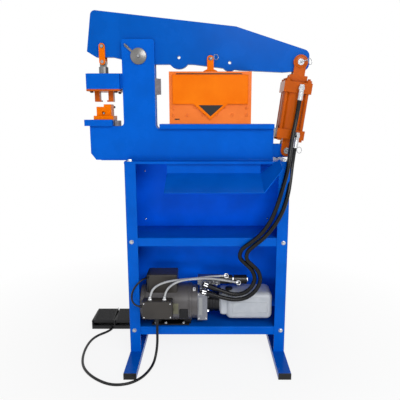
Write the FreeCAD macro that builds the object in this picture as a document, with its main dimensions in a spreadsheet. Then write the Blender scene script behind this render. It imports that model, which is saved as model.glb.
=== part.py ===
import FreeCAD, Part
import math
import os
import re
import Sketcher
from FreeCAD import Placement, Rotation, Vector

# Hydraulic ironworker on a sheet metal stand: a punch station at the left, a shear at the middle and
# one lifting cylinder at the right, all worked by one rocking arm. Millimetres. X runs to the right,
# Y to the back and Z up. Y = 0 is the middle plane of the arm and Z = 0 the floor.

os.makedirs("parts", exist_ok=True)
doc = FreeCAD.newDocument("ironworker")

# Driving sizes

sizes = {
    # stand
    "stand_x": "73",
    "stand_width": "668",
    "stand_depth": "220",
    "stand_height": "843",
    "sheet_thickness": "3",
    "bend_radius": "5",
    "flange_width": "46",
    "foot_length": "550",
    "foot_width": "51",
    "foot_height": "25",
    "foot_wall": "3",
    "cap_head": "5",
    "cap_insert": "18",
    "tray_height": "140",
    "shelf_height": "536",
    "lip_height": "36",
    "base_thickness": "9.5",
    # heavy frame
    "plate_thickness": "19",
    "arm_thickness": "25",
    "side_gap": "1",
    "jaw_reach": "484",
    "jaw_chamfer_width": "21",
    "jaw_chamfer_height": "27",
    "throat_drop": "8",
    "throat_radius": "14",
    "column_reach": "343",
    "column_width": "131",
    "column_rise": "333",
    "column_round": "12",
    "beam_reach": "274",
    "window_radius": "17",
    "table_height": "1000",
    "shear_table_thickness": "19",
    "shear_table_depth": "105",
    "spacer_margin": "16",
    # pivot of the arm
    "pivot_reach": "275",
    "pivot_rise": "267",
    "main_pin_radius": "19.05",
    "washer_radius": "32",
    "washer_thickness": "6",
    "keeper_length": "36",
    "keeper_width": "8",
    "running_gap": "0.05",
    # arm outline, as distances from the pivot
    "nose_overhang": "62",
    "nose_rise": "21",
    "nose_top_overhang": "40",
    "nose_top_rise": "180",
    "nose_radius": "19",
    "kink_reach": "390",
    "kink_rise": "117",
    "tail_reach": "688",
    "tail_top_rise": "23",
    "tail_bottom_drop": "52",
    "tail_radius": "26",
    "belly_drop": "60",
    "belly_reach": "585",
    "waist_reach": "408",
    "waist_drop": "52",
    "loin_reach": "217",
    "loin_drop": "29",
    "pivot_boss": "50",
    "tool_boss_one": "45",
    "tool_boss_two": "34",
    "tool_hole_radius": "6.35",
    "tool_one_reach": "160",
    "tool_one_drop": "2",
    "tool_two_reach": "366",
    "tool_two_drop": "22",
    # punch station
    "ram_inset": "60",
    "ram_radius": "19.05",
    "ram_bottom_rise": "176",
    "ram_shoulder_rise": "228",
    "ram_pin_rise": "247",
    "link_length": "60",
    "link_width": "24",
    "link_thickness": "8",
    "link_gap": "1.5",
    "link_pin_radius": "6.35",
    "pivot_play": "1.5",
    "pin_head": "3",
    "block_rise": "138",
    "block_height": "60",
    "block_width": "133",
    "block_depth": "115",
    "stripper_thickness": "8",
    "stripper_drop": "40",
    "stripper_leg": "20",
    "stripper_leg_depth": "30",
    "stripper_spacing": "56",
    "stripper_toe": "6",
    "die_table_thickness": "25.4",
    "die_table_width": "114",
    "die_table_depth": "100",
    "die_table_overhang": "17",
    "holder_flange_width": "80",
    "holder_flange_height": "16",
    "holder_width": "60",
    "holder_depth": "56",
    "holder_low": "52",
    "holder_high": "62",
    "die_bore_radius": "14.3",
    "die_bore_depth": "46",
    "slug_hole_radius": "6",
    "stop_size": "27",
    "stop_height": "22",
    "gauge_width": "23",
    "gauge_tip": "9",
    "gauge_height": "64",
    "gauge_rise": "117",
    # shear
    "housing_left": "154",
    "housing_width": "332",
    "housing_depth": "92",
    "housing_height": "207",
    "slot_width": "266",
    "carrier_gap": "1",
    "carrier_thickness": "25.4",
    "blade_sink": "20",
    "carrier_rise": "36",
    "dome_radius": "48",
    "dome_rise": "13",
    "shear_pin_x": "15",
    "shear_pin_rise": "52",
    "neck_width": "27",
    "pin_wander": "4.6",
    "slot_play": "0.3",
    "guard_thickness": "8",
    "guard_width": "304",
    "guard_rise": "81",
    "guard_height": "113",
    "vee_width": "139",
    "vee_drop": "62",
    # cylinder
    "base_pin_reach": "57",
    "base_pin_height": "890",
    "arm_pin_reach": "652",
    "arm_pin_drop": "21",
    "clevis_pin_radius": "12.7",
    "lug_radius": "28",
    "lug_root": "80",
    "clevis_gap": "1.5",
    "base_ear_thickness": "12",
    "base_clevis_width": "48",
    "base_cap_start": "50",
    "cap_size": "112",
    "base_cap_height": "38",
    "head_height": "43",
    "tube_length": "147",
    "tube_radius": "50",
    "bore_radius": "44.45",
    "rod_radius": "19.05",
    "piston_height": "18",
    "tie_spacing": "84",
    "tie_radius": "7",
    "tie_nut_radius": "11",
    "tie_nut_height": "10",
    "rod_show": "4",
    "clevis_base_width": "73",
    "clevis_base_height": "25",
    "clevis_neck": "47",
    "clevis_head_radius": "29",
    "ear_thickness": "11.5",
    "clevis_slot_extra": "8",
    "clevis_play": "1.6",
    "upper_port_offset": "10",
    "lower_port_offset": "22",
    "fitting_stub": "17",
    "stub_radius": "8",
    "ferrule_radius": "11",
    "ferrule_length": "50",
    # chute
    "chute_width": "380",
    "chute_back": "92",
    "chute_front": "230",
    "chute_fold": "804",
    "chute_low": "747",
    "chute_left": "164",
    "wing_run": "72",
    "wing_rise": "62",
    "wing_back": "128",
    "wing_length": "0.55",
    # power unit
    "unit_y": "35",
    "unit_axis": "228",
    "motor_left": "287",
    "motor_length": "245",
    "motor_radius": "81",
    "bell_radius": "74",
    "bell_length": "26",
    "motor_base_length": "164",
    "motor_base_depth": "82",
    "motor_base_thickness": "6",
    "saddle_width": "34",
    "cover_left": "261",
    "cover_length": "132",
    "cover_depth": "82",
    "cover_top": "368",
    "box_left": "271",
    "box_length": "127",
    "box_depth": "51",
    "box_height": "78",
    "box_bottom": "203",
    "block_length": "42",
    "block_side": "124",
    "riser_height": "23",
    "riser_length": "28",
    "manifold_length": "97",
    "manifold_depth": "50",
    "manifold_height": "30",
    "coil_radius": "20",
    "coil_length": "56",
    "coil_gap": "5",
    "pump_radius": "44",
    "pump_length": "51",
    "neck_radius": "38",
    "tank_neck_length": "30",
    "tank_length": "199",
    "tank_depth": "130",
    "tank_height": "120",
    "tank_round": "30",
    "tank_bevel": "14",
    "filler_radius": "14",
    "filler_height": "9",
    # foot switch
    "pedal_x": "457.2",
    "pedal_inset": "130",
    "pedal_width": "222",
    "pedal_depth": "118",
    "pedal_base_height": "18",
    "pedal_wall": "6",
    "pedal_side_height": "44",
    "treadle_gap": "1.5",
    "treadle_low": "30",
    "treadle_high": "50",
    "treadle_pin": "3",
    # hoses and leads
    "port_x": "62",
    "port_height": "332",
    "port_front": "110",
    "port_tilt": "20",
    "port_length": "50",
    "low_port_x": "54",
    "low_port_height": "301",
    "low_port_front": "116",
    "low_port_tilt": "15",
    "low_port_length": "45",
    "hose_radius": "8.5",
    "hose_split_height": "885",
    "conduit_radius": "4.8",
    "lead_radius": "3.8",
    "cord_radius": "5.5",
    "cord_gap": "0.3",
}

sheet = doc.addObject("Spreadsheet::Sheet", "Sizes")
for row, (alias, value) in enumerate(sizes.items(), start=1):
    sheet.set(f"A{row}", alias)
    sheet.set(f"B{row}", value)
    sheet.setAlias(f"B{row}", alias)
doc.recompute()

# Places worked out from the driving sizes

places = {
    "left": "stand_x - stand_width / 2",
    "right": "stand_x + stand_width / 2",
    "front": "0 - stand_depth / 2",
    "back": "stand_depth / 2",
    "base_top": "stand_height + base_thickness",
    "half_gap": "arm_thickness / 2 + side_gap",
    "half_frame": "half_gap + plate_thickness",
    "throat_floor": "table_height - throat_drop",
    "column_top": "table_height + column_rise",
    "pivot_height": "table_height + pivot_rise",
    "ram_bottom": "table_height + ram_bottom_rise",
    "ram_shoulder": "table_height + ram_shoulder_rise",
    "ram_pin_height": "table_height + ram_pin_rise",
    "block_bottom": "table_height + block_rise",
    "gauge_bottom": "table_height + gauge_rise",
    "carrier_bottom": "table_height + carrier_rise",
    "guard_bottom": "table_height + guard_rise",
    "jaw_left": "stand_x - jaw_reach",
    "column_left": "stand_x - column_reach",
    "column_right": "column_left + column_width",
    "beam_right": "stand_x + beam_reach",
    "beam_top": "table_height - shear_table_thickness",
    "pivot_x": "stand_x - pivot_reach",
    "ram_x": "jaw_left + ram_inset",
    "nose_reach": "pivot_x - ram_x + nose_overhang",
    "nose_top_reach": "pivot_x - ram_x + nose_top_overhang",
    "link_top": "ram_pin_height + link_length",
    "arm_half": "arm_thickness / 2",
    "link_inner": "arm_half + link_gap",
    "link_outer": "link_inner + link_thickness",
    "block_top": "block_bottom + block_height",
    "die_table_top": "throat_floor + die_table_thickness",
    "die_table_left": "jaw_left - die_table_overhang",
    "die_table_right": "die_table_left + die_table_width",
    "holder_top": "die_table_top + holder_high",
    "housing_x": "stand_x - housing_left",
    "housing_top": "table_height + housing_height",
    "shear_pin_height": "housing_top + shear_pin_rise",
    "blade_top": "housing_top - blade_sink",
    "housing_middle": "housing_x + housing_width / 2",
    "slot_depth": "carrier_thickness + 2 * carrier_gap",
    "shear_x": "stand_x + shear_pin_x",
    "guard_y": "0 - housing_depth / 2 - guard_thickness",
    "base_x": "beam_right + base_pin_reach",
    "top_x": "pivot_x + arm_pin_reach",
    "top_z": "pivot_height - arm_pin_drop",
    "pin_run": "top_x - base_x",
    "pin_rise": "top_z - base_pin_height",
    "pin_to_pin": "sqrt(pin_run * pin_run + pin_rise * pin_rise)",
    "tube_start": "base_cap_start + base_cap_height",
    "tube_end": "tube_start + tube_length",
    "head_end": "tube_end + head_height",
    "clevis_start": "head_end + rod_show",
    "clevis_shoulder": "clevis_start + clevis_base_height",
    "lug_half": "half_gap",
    "base_inner": "half_gap + clevis_gap",
    "base_outer": "base_inner + base_ear_thickness",
    "ear_inner": "arm_half + clevis_gap",
    "ear_outer": "ear_inner + ear_thickness",
    "unit_axis_y": "0 - unit_y",
    "motor_x": "stand_x - motor_left",
    "motor_end": "motor_x + motor_length",
    "cover_x": "stand_x - cover_left",
    "box_x": "stand_x - box_left",
    "box_back": "unit_axis_y - motor_radius - 3",
    "pump_x": "motor_end + block_length",
    "neck_x": "pump_x + pump_length",
    "tank_x": "neck_x + tank_neck_length",
    "block_low": "unit_axis - block_side / 2",
    "block_high": "unit_axis + block_side / 2",
    "manifold_low": "block_high + riser_height",
    "pedal_front": "foot_length / 2 - pedal_inset",
    "pedal_middle": "stand_x - pedal_x",
    "pedal_left_edge": "pedal_middle - pedal_width / 2",
    "treadle_width": "pedal_width / 2 - 1.5 * pedal_wall - 2 * treadle_gap",
    "treadle_axle_y": "pedal_front + pedal_depth - pedal_wall - 3 * treadle_pin",
    "treadle_axle_z": "treadle_low + 2.5 * treadle_pin",
}


def spell(text):
    """The expression with each alias or place written out as the sheet's own cells."""
    def word(match):
        name = match.group(0)
        if name in sizes:
            return "Sizes." + name
        if name in places:
            return "(" + spell(places[name]) + ")"
        return name
    return re.sub(r"[a-z_]+", word, str(text))


def number(text):
    """The value of an expression over the sheet."""
    return float(sheet.evalExpression(spell(text)))


def bind(item, member, text):
    item.setExpression(member, spell(text))


def put(item, x, y, z):
    """Bind the place of an object's own origin."""
    for member, text in (("x", x), ("y", y), ("z", z)):
        bind(item, "Placement.Base." + member, text)
    return item


# Edges and corners closer than this lie on each other

FLAT = 0.001

# Simple solids

TURNS = {
    "x": Rotation(Vector(0, 1, 0), 90),
    "y": Rotation(Vector(1, 0, 0), -90),
    "z": Rotation(),
}


def box(name, x, y, z, length, width, height):
    item = doc.addObject("Part::Box", name)
    bind(item, "Length", length)
    bind(item, "Width", width)
    bind(item, "Height", height)
    return put(item, x, y, z)


def slab(name, x, length, half_depth, z, height):
    """A box that is centred on the middle plane."""
    return box(name, x, f"0 - ({half_depth})", z, length, f"2 * ({half_depth})", height)


def round_bar(name, axis, x, y, z, radius, length):
    """A cylinder that starts at the given point and runs along the axis."""
    item = doc.addObject("Part::Cylinder", name)
    item.Placement = Placement(Vector(), TURNS[axis])
    bind(item, "Radius", radius)
    bind(item, "Height", length)
    return put(item, x, y, z)


def cross_bar(name, x, z, radius, half_length):
    """A cylinder along Y that is centred on the middle plane."""
    return round_bar(name, "y", x, f"0 - ({half_length})", z, radius, f"2 * ({half_length})")


def fuse(name, *items):
    item = doc.addObject("Part::MultiFuse", name)
    item.Shapes = list(items)
    item.Refine = True
    return item


def cut(name, base, *tools):
    item = doc.addObject("Part::Cut", name)
    item.Base = base
    item.Tool = tools[0] if len(tools) == 1 else fuse(name + "_tools", *tools)
    item.Refine = True
    return item


def together(name, *items):
    """Like pieces on one body, which share a node without touching."""
    item = doc.addObject("Part::Compound", name)
    item.Links = list(items)
    return item


# Outlines drawn as sketches and padded

def origin_plane(body, role):
    return [plane for plane in body.Origin.OriginFeatures if plane.Role == role][0]


def new_sketch(body, name, role):
    sketch = body.newObject("Sketcher::SketchObject", name)
    sketch.AttachmentSupport = (origin_plane(body, role), [""])
    sketch.MapMode = "FlatFace"
    return sketch


def tie(sketch, kind, geometry, point, text):
    """A dimension from the sketch's origin, bound to the sheet."""
    place = sketch.addConstraint(Sketcher.Constraint(kind, -1, 1, geometry, point, number(text)))
    bind(sketch, f"Constraints[{place}]", text)


def draw_outline(sketch, corners):
    values = [Vector(number(x), number(y), 0) for x, y in corners]
    first = sketch.GeometryCount
    for place, start in enumerate(values):
        end = values[(place + 1) % len(values)]
        sketch.addGeometry(Part.LineSegment(start, end), False)
    for place, (x, y) in enumerate(corners):
        following = first + (place + 1) % len(corners)
        sketch.addConstraint(Sketcher.Constraint("Coincident", first + place, 2, following, 1))
        tie(sketch, "DistanceX", first + place, 1, x)
        tie(sketch, "DistanceY", first + place, 1, y)


def draw_hole(sketch, x, y, radius):
    centre = Vector(number(x), number(y), 0)
    hole = sketch.addGeometry(Part.Circle(centre, Vector(0, 0, 1), number(radius)), False)
    tie(sketch, "DistanceX", hole, 3, x)
    tie(sketch, "DistanceY", hole, 3, y)
    place = sketch.addConstraint(Sketcher.Constraint("Radius", hole, number(radius)))
    bind(sketch, f"Constraints[{place}]", radius)


def plate(name, role, corners, thickness, holes=(), midplane=True):
    """A padded outline with round holes, in a body of its own."""
    body = doc.addObject("PartDesign::Body", name)
    sketch = new_sketch(body, name + "_outline", role)
    draw_outline(sketch, corners)
    for hole in holes:
        draw_hole(sketch, *hole)
    pad = body.newObject("PartDesign::Pad", name + "_pad")
    pad.Profile = sketch
    pad.Midplane = midplane
    bind(pad, "Length", thickness)
    doc.recompute()
    return body


def corner_edges(body, sketch, corner, axis):
    """The edges of the body's last feature that stand on one corner of the outline."""
    point = sketch.getGlobalPlacement().multVec(sketch.Geometry[corner].StartPoint)
    local = body.Placement.inverse().multVec(point)
    found = []
    for place, edge in enumerate(body.Tip.Shape.Edges, start=1):
        ends = [vertex.Point - local for vertex in edge.Vertexes]
        flat = [math.hypot(*[part for part, letter in zip(end, "xyz") if letter != axis]) for end in ends]
        if len(ends) == 2 and max(flat) < FLAT:
            found.append(f"Edge{place}")
    return found


def round_corners(body, axis, groups):
    """Fillets on corners of the outline: each group is a radius and the corners that take it."""
    sketch = doc.getObject(body.Name + "_outline")
    for place, (radius, corners) in enumerate(groups):
        edges = [edge for corner in corners for edge in corner_edges(body, sketch, corner, axis)]
        base = body.Tip
        fillet = body.newObject("PartDesign::Fillet", f"{body.Name}_round_{place + 1}")
        fillet.Base = (base, edges)
        bind(fillet, "Radius", radius)
        doc.recompute()
    return body


# Stand

def stand_side(name, edge, inward):
    """A side bent from one sheet: a web with a flange at the front and at the back."""
    def across(distance):
        return f"{edge} + {inward} * ({distance})"
    corners = [
        (across("0"), "front"),
        (across("flange_width"), "front"),
        (across("flange_width"), "front + sheet_thickness"),
        (across("sheet_thickness"), "front + sheet_thickness"),
        (across("sheet_thickness"), "back - sheet_thickness"),
        (across("flange_width"), "back - sheet_thickness"),
        (across("flange_width"), "back"),
        (across("0"), "back"),
    ]
    body = plate(name, "XY_Plane", corners, "stand_height - foot_height", midplane=False)
    round_corners(body, "z", [
        ("bend_radius", [0, 7]),
        ("bend_radius - sheet_thickness", [3, 4]),
    ])
    return put(body, "0", "0", "foot_height")


def foot(name, x):
    tube = box(name + "_tube", x, "0 - foot_length / 2", "0", "foot_width", "foot_length", "foot_height")
    hollow = box(name + "_hollow", f"{x} + foot_wall", "0 - foot_length", "foot_wall",
                 "foot_width - 2 * foot_wall", "2 * foot_length", "foot_height - 2 * foot_wall")
    return cut(name, tube, hollow)


def foot_cap(name, x, y, towards):
    """A plastic plug: a head as wide as the tube and a shank inside it."""
    head_y = y if towards > 0 else f"{y} - cap_head"
    shank_y = f"{y} - cap_insert" if towards > 0 else y
    head = box(name + "_head", x, head_y, "0", "foot_width", "cap_head", "foot_height")
    shank = box(name + "_shank", f"{x} + foot_wall + cord_gap", shank_y, "foot_wall + cord_gap",
                "foot_width - 2 * (foot_wall + cord_gap)", "cap_insert",
                "foot_height - 2 * (foot_wall + cord_gap)")
    return fuse(name, head, shank)


def bent_shelf(name, height):
    """A shelf with a lip turned down at the front and the back, between the two sides."""
    y_front = "front + sheet_thickness"
    y_back = "back - 2 * sheet_thickness"
    corners = [
        (y_front, f"{height} - lip_height"),
        (y_front, height),
        (y_back, height),
        (y_back, f"{height} - lip_height"),
        (f"{y_back} - sheet_thickness", f"{height} - lip_height"),
        (f"{y_back} - sheet_thickness", f"{height} - sheet_thickness"),
        (f"{y_front} + sheet_thickness", f"{height} - sheet_thickness"),
        (f"{y_front} + sheet_thickness", f"{height} - lip_height"),
    ]
    body = plate(name, "YZ_Plane", corners, "stand_width - 2 * bend_radius")
    round_corners(body, "x", [
        ("bend_radius", [1, 2]),
        ("bend_radius - sheet_thickness", [5, 6]),
    ])
    return put(body, "stand_x", "0", "0")


stand_side_left = stand_side("stand_side_left", "left", "1")
stand_side_right = stand_side("stand_side_right", "right", "(-1)")
foot_left = foot("foot_left", "left")
foot_right = foot("foot_right", "right - foot_width")
foot_caps = together("foot_caps", *[
    foot_cap(f"foot_cap_{place}", x, f"{side} * foot_length / 2", side)
    for place, (x, side) in enumerate([
        ("left", -1), ("left", 1), ("right - foot_width", -1), ("right - foot_width", 1)])
])
lower_tray = bent_shelf("lower_tray", "tray_height")
mid_shelf = bent_shelf("mid_shelf", "shelf_height")
back_panel = box("back_panel", "left + bend_radius", "back - 2 * sheet_thickness",
                 "tray_height - lip_height", "stand_width - 2 * bend_radius", "sheet_thickness",
                 "stand_height - tray_height + lip_height")
base_plate = box("base_plate", "left", "front", "stand_height", "stand_width", "stand_depth", "base_thickness")

# Heavy frame: two flame-cut plates with the arm between them

def frame_plate(name, side):
    corners = [
        ("jaw_left", "base_top + jaw_chamfer_height"),
        ("jaw_left", "throat_floor"),
        ("column_left", "throat_floor"),
        ("column_left", "column_top"),
        ("column_right", "column_top"),
        ("column_right", "beam_top"),
        ("beam_right", "beam_top"),
        ("beam_right", "base_top"),
        ("jaw_left + jaw_chamfer_width", "base_top"),
    ]
    pivot = ("pivot_x", "pivot_height", "main_pin_radius + running_gap")
    body = plate(name, "XZ_Plane", corners, "plate_thickness", [pivot])
    round_corners(body, "y", [
        ("throat_radius", [2]),
        ("column_round", [3, 4]),
        ("window_radius", [5]),
    ])
    return put(body, "0", f"{side} * (half_gap + plate_thickness / 2)", "0")


frame_plate_front = frame_plate("frame_plate_front", "(-1)")
frame_plate_rear = frame_plate("frame_plate_rear", "1")

jaw_spacer = slab("jaw_spacer", "jaw_left + jaw_chamfer_width + spacer_margin",
                  "column_right - jaw_left - jaw_chamfer_width - 2 * spacer_margin", "half_gap",
                  "base_top", "throat_floor - base_top - spacer_margin")
beam_spacer = slab("beam_spacer", "column_right + spacer_margin",
                   "beam_right - lug_root - column_right - 2 * spacer_margin", "half_gap",
                   "base_top", "beam_top - base_top - spacer_margin")
frame_spacers = together("frame_spacers", jaw_spacer, beam_spacer)

lug_bar = slab("lug_bar", "beam_right - lug_root", "base_x - beam_right + lug_root", "lug_half",
               "base_pin_height - lug_radius", "2 * lug_radius")
lug_end = cross_bar("lug_end", "base_x", "base_pin_height", "lug_radius", "lug_half")
lug_hole = cross_bar("lug_hole", "base_x", "base_pin_height", "clevis_pin_radius", "half_frame")
cylinder_lug = cut("cylinder_lug", fuse("lug_solid", lug_bar, lug_end), lug_hole)

die_table = slab("die_table", "die_table_left", "die_table_width", "die_table_depth / 2",
                 "throat_floor", "die_table_thickness")
shear_table = slab("shear_table", "column_right + window_radius", "beam_right - column_right - window_radius",
                   "shear_table_depth / 2", "beam_top", "shear_table_thickness")


def hexagon_prism(name, x, y, z, across_flats, height):
    item = doc.addObject("Part::Prism", name)
    item.Polygon = 6
    bind(item, "Circumradius", f"({across_flats}) / sqrt(3)")
    bind(item, "Height", height)
    return put(item, x, y, z)


table_stop = hexagon_prism("table_stop", "die_table_right + stop_size * 0.6", "0 - half_gap - plate_thickness / 2",
                           "throat_floor", "stop_size", "stop_height")
gauge_body = box("gauge_body", "column_right", "0 - half_frame", "gauge_bottom",
                 "gauge_width - gauge_tip", "half_frame - half_gap", "gauge_height")
gauge_bar = box("gauge_bar", "column_right + gauge_width - gauge_tip", "0 - half_frame + side_gap",
                "gauge_bottom + side_gap", "gauge_tip", "half_frame - half_gap - 2 * side_gap",
                "gauge_height - 2 * side_gap")
gauge_block = fuse("gauge_block", gauge_body, gauge_bar)

# Pivot pin, its washers and the keeper bar on the front washer

main_pin = cross_bar("main_pin", "pivot_x", "pivot_height", "main_pin_radius", "half_frame + washer_thickness")
base_pin = cross_bar("base_pin", "base_x", "base_pin_height", "clevis_pin_radius",
                     "base_outer + pin_head")
frame_pins = together("frame_pins", main_pin, base_pin)


def washer(name, y):
    disc = round_bar(name + "_disc", "y", "pivot_x", y, "pivot_height", "washer_radius", "washer_thickness")
    hole = cross_bar(name + "_hole", "pivot_x", "pivot_height", "main_pin_radius", "2 * half_frame")
    return cut(name, disc, hole)


keeper = box("keeper", "0", "0", "0 - keeper_width / 2", "keeper_length", "washer_thickness", "keeper_width")
bind(keeper, "Placement",
     "placement(vector(pivot_x - washer_radius * cos(42); 0 - half_frame - washer_thickness;"
     " pivot_height + washer_radius * sin(42)); rotation(vector(0; 1; 0); 180 + 42))")
pin_washers = together("pin_washers", washer("washer_front", "0 - half_frame - washer_thickness"),
                       washer("washer_rear", "half_frame"), keeper)

# Guide block and stripper of the punch station

block_solid = slab("block_solid", "jaw_left", "block_width", "block_depth / 2", "block_bottom", "block_height")
block_tongue = slab("block_tongue", "jaw_left", "column_left - jaw_left", "half_frame",
                    "block_bottom + sheet_thickness", "block_height")
block_bore = round_bar("block_bore", "z", "ram_x", "0", "block_bottom - block_height",
                       "ram_radius + running_gap", "3 * block_height")
guide_block = cut("guide_block", fuse("guide_solid", block_solid, block_tongue), block_bore)


def stripper_foot(name, side):
    """One leg of the stripper with its toe turned in under the punch."""
    leg_x = f"ram_x + {side} * stripper_spacing / 2 - stripper_leg / 2"
    toe_x = f"ram_x + {side} * (stripper_spacing / 2 - stripper_toe) - stripper_leg / 2"
    leg = slab(name + "_leg", leg_x, "stripper_leg", "stripper_leg_depth / 2",
               "block_bottom - stripper_thickness - stripper_drop", "stripper_drop + stripper_thickness / 2")
    toe = slab(name + "_toe", toe_x, "stripper_leg", "stripper_leg_depth / 2",
               "block_bottom - stripper_thickness - stripper_drop", "stripper_toe")
    return fuse(name, leg, toe)


stripper_plate = slab("stripper_plate", "jaw_left", "block_width", "block_depth / 2",
                      "block_bottom - stripper_thickness", "stripper_thickness")
stripper_hole = round_bar("stripper_hole", "z", "ram_x", "0", "block_bottom - 2 * stripper_thickness",
                          "ram_radius + stripper_toe / 2", "3 * stripper_thickness")
stripper = fuse("stripper", cut("stripper_top", stripper_plate, stripper_hole),
                stripper_foot("stripper_left", -1), stripper_foot("stripper_right", 1))

# Die holder: a flanged casting with a bore for the die and a lower half at the left

holder_flange = slab("holder_flange", "ram_x - holder_flange_width / 2", "holder_flange_width",
                     "holder_flange_width / 2", "die_table_top", "holder_flange_height")
holder_left = slab("holder_left", "ram_x - holder_width / 2", "holder_width", "holder_depth / 2",
                   "die_table_top", "holder_low")
holder_right = slab("holder_right", "ram_x", "holder_width / 2", "holder_depth / 2", "die_table_top", "holder_high")
holder_bore = round_bar("holder_bore", "z", "ram_x", "0", "holder_top - die_bore_depth", "die_bore_radius",
                        "2 * die_bore_depth")
slug_hole = round_bar("slug_hole", "y", "ram_x - slug_hole_radius / 2", "0 - holder_flange_width",
                      "die_table_top + holder_flange_height + slug_hole_radius * 2", "slug_hole_radius",
                      "holder_flange_width")
die_holder = cut("die_holder", fuse("holder_solid", holder_flange, holder_left, holder_right),
                 holder_bore, slug_hole)

# Arm

def arm_point(reach, rise):
    return (f"pivot_x + {reach}", f"pivot_height + {rise}")


arm_corners = [
    arm_point("(0 - nose_reach)", "nose_rise"),
    arm_point("(0 - nose_top_reach)", "nose_top_rise"),
    arm_point("kink_reach", "kink_rise"),
    arm_point("tail_reach", "tail_top_rise"),
    arm_point("tail_reach", "(0 - tail_bottom_drop)"),
    arm_point("belly_reach", "(0 - belly_drop)"),
    arm_point("waist_reach", "(0 - waist_drop)"),
    arm_point("loin_reach", "(0 - loin_drop)"),
    arm_point("column_width / 2", "(0 - loin_drop)"),
    arm_point("(0 - column_width / 2)", "(0 - nose_rise / 2)"),
    arm_point("(0 - nose_reach / 2)", "(0 - side_gap)"),
    arm_point("(0 - nose_reach * 0.83)", "(0 - side_gap)"),
]
arm_holes = [
    ("pivot_x", "pivot_height", "main_pin_radius + running_gap"),
    ("ram_x", "link_top", "link_pin_radius"),
    ("shear_x", "shear_pin_height", "link_pin_radius"),
    ("top_x", "top_z", "clevis_pin_radius"),
]
arm_bosses = [
    ("pivot_x", "pivot_height", "pivot_boss"),
    ("pivot_x + tool_one_reach", "pivot_height - tool_one_drop", "tool_boss_one"),
    ("pivot_x + tool_two_reach", "pivot_height - tool_two_drop", "tool_boss_two"),
]
tool_holes = [
    ("pivot_x + tool_one_reach", "pivot_height - tool_one_drop", "tool_hole_radius"),
    ("pivot_x + tool_two_reach", "pivot_height - tool_two_drop", "tool_hole_radius"),
]


def cut_holes(body, name, holes):
    """Round holes through a plate that stands on the XZ plane."""
    sketch = new_sketch(body, name, "XZ_Plane")
    for hole in holes:
        draw_hole(sketch, *hole)
    pocket = body.newObject("PartDesign::Pocket", name + "_pocket")
    pocket.Profile = sketch
    pocket.Midplane = True
    pocket.Type = "ThroughAll"
    doc.recompute()


def make_arm():
    body = plate("arm", "XZ_Plane", arm_corners, "arm_thickness")
    round_corners(body, "y", [("nose_radius", [1]), ("tail_radius", [3, 4])])
    sketch = new_sketch(body, "arm_bosses", "XZ_Plane")
    for boss in arm_bosses:
        draw_hole(sketch, *boss)
    pad = body.newObject("PartDesign::Pad", "arm_boss_pad")
    pad.Profile = sketch
    pad.Midplane = True
    bind(pad, "Length", "arm_thickness")
    doc.recompute()
    cut_holes(body, "arm_holes", arm_holes + tool_holes)
    return body


arm = make_arm()
link_pin = cross_bar("link_pin", "ram_x", "link_top", "link_pin_radius", "link_outer + pin_head")
shear_pin = cross_bar("shear_pin", "shear_x", "shear_pin_height", "link_pin_radius", "link_outer + pin_head")
clevis_pin = cross_bar("clevis_pin", "top_x", "top_z", "clevis_pin_radius", "ear_outer + pin_head")
arm_pins = together("arm_pins", link_pin, shear_pin, clevis_pin)

# Ram and the two links that hang it from the arm

ram_round = round_bar("ram_round", "z", "ram_x", "0", "ram_bottom", "ram_radius", "ram_shoulder - ram_bottom")
ram_tongue = slab("ram_tongue", "ram_x - link_width / 2", "link_width", "arm_half", "ram_shoulder",
                  "ram_pin_height - ram_shoulder")
ram_eye = cross_bar("ram_eye", "ram_x", "ram_pin_height", "link_width / 2", "arm_half")
ram_hole = cross_bar("ram_hole", "ram_x", "ram_pin_height", "link_pin_radius", "2 * arm_half")
ram = cut("ram", fuse("ram_solid", ram_round, ram_tongue, ram_eye), ram_hole)
ram_pin = cross_bar("ram_pin", "ram_x", "ram_pin_height", "link_pin_radius", "link_outer + pin_head")


def punch_link(name, y):
    """A flat link with round ends: a running hole at the ram and an easy one at the arm."""
    bar = box(name + "_bar", "ram_x - link_width / 2", y, "ram_pin_height", "link_width", "link_thickness",
              "link_length")
    low_end = round_bar(name + "_low", "y", "ram_x", y, "ram_pin_height", "link_width / 2", "link_thickness")
    high_end = round_bar(name + "_high", "y", "ram_x", y, "link_top", "link_width / 2", "link_thickness")
    low_hole = cross_bar(name + "_low_hole", "ram_x", "ram_pin_height", "link_pin_radius + running_gap",
                         "2 * link_outer")
    high_hole = cross_bar(name + "_high_hole", "ram_x", "link_top", "link_pin_radius + pivot_play",
                          "2 * link_outer")
    return cut(name, fuse(name + "_solid", bar, low_end, high_end), low_hole, high_hole)


punch_links = together("punch_links", punch_link("punch_link_front", "0 - link_outer"),
                       punch_link("punch_link_rear", "link_inner"))

# Shear: a housing on the table, the blade carrier inside it and the guard on its front

housing_solid = slab("housing_solid", "housing_x", "housing_width", "housing_depth / 2", "table_height",
                     "housing_height")
housing_slot = slab("housing_slot", "housing_middle - slot_width / 2", "slot_width", "slot_depth / 2",
                    "table_height - housing_height", "3 * housing_height")
shear_housing = cut("shear_housing", housing_solid, housing_slot)

guard_corners = [
    ("housing_middle - guard_width / 2", "guard_bottom"),
    ("housing_middle - guard_width / 2", "guard_bottom + guard_height"),
    ("housing_middle + guard_width / 2", "guard_bottom + guard_height"),
    ("housing_middle + guard_width / 2", "guard_bottom"),
    ("housing_middle + vee_width / 2", "guard_bottom"),
    ("housing_middle", "guard_bottom - vee_drop"),
    ("housing_middle - vee_width / 2", "guard_bottom"),
]
shear_guard = plate("shear_guard", "XZ_Plane", guard_corners, "guard_thickness")
put(shear_guard, "0", "guard_y + guard_thickness / 2", "0")

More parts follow.
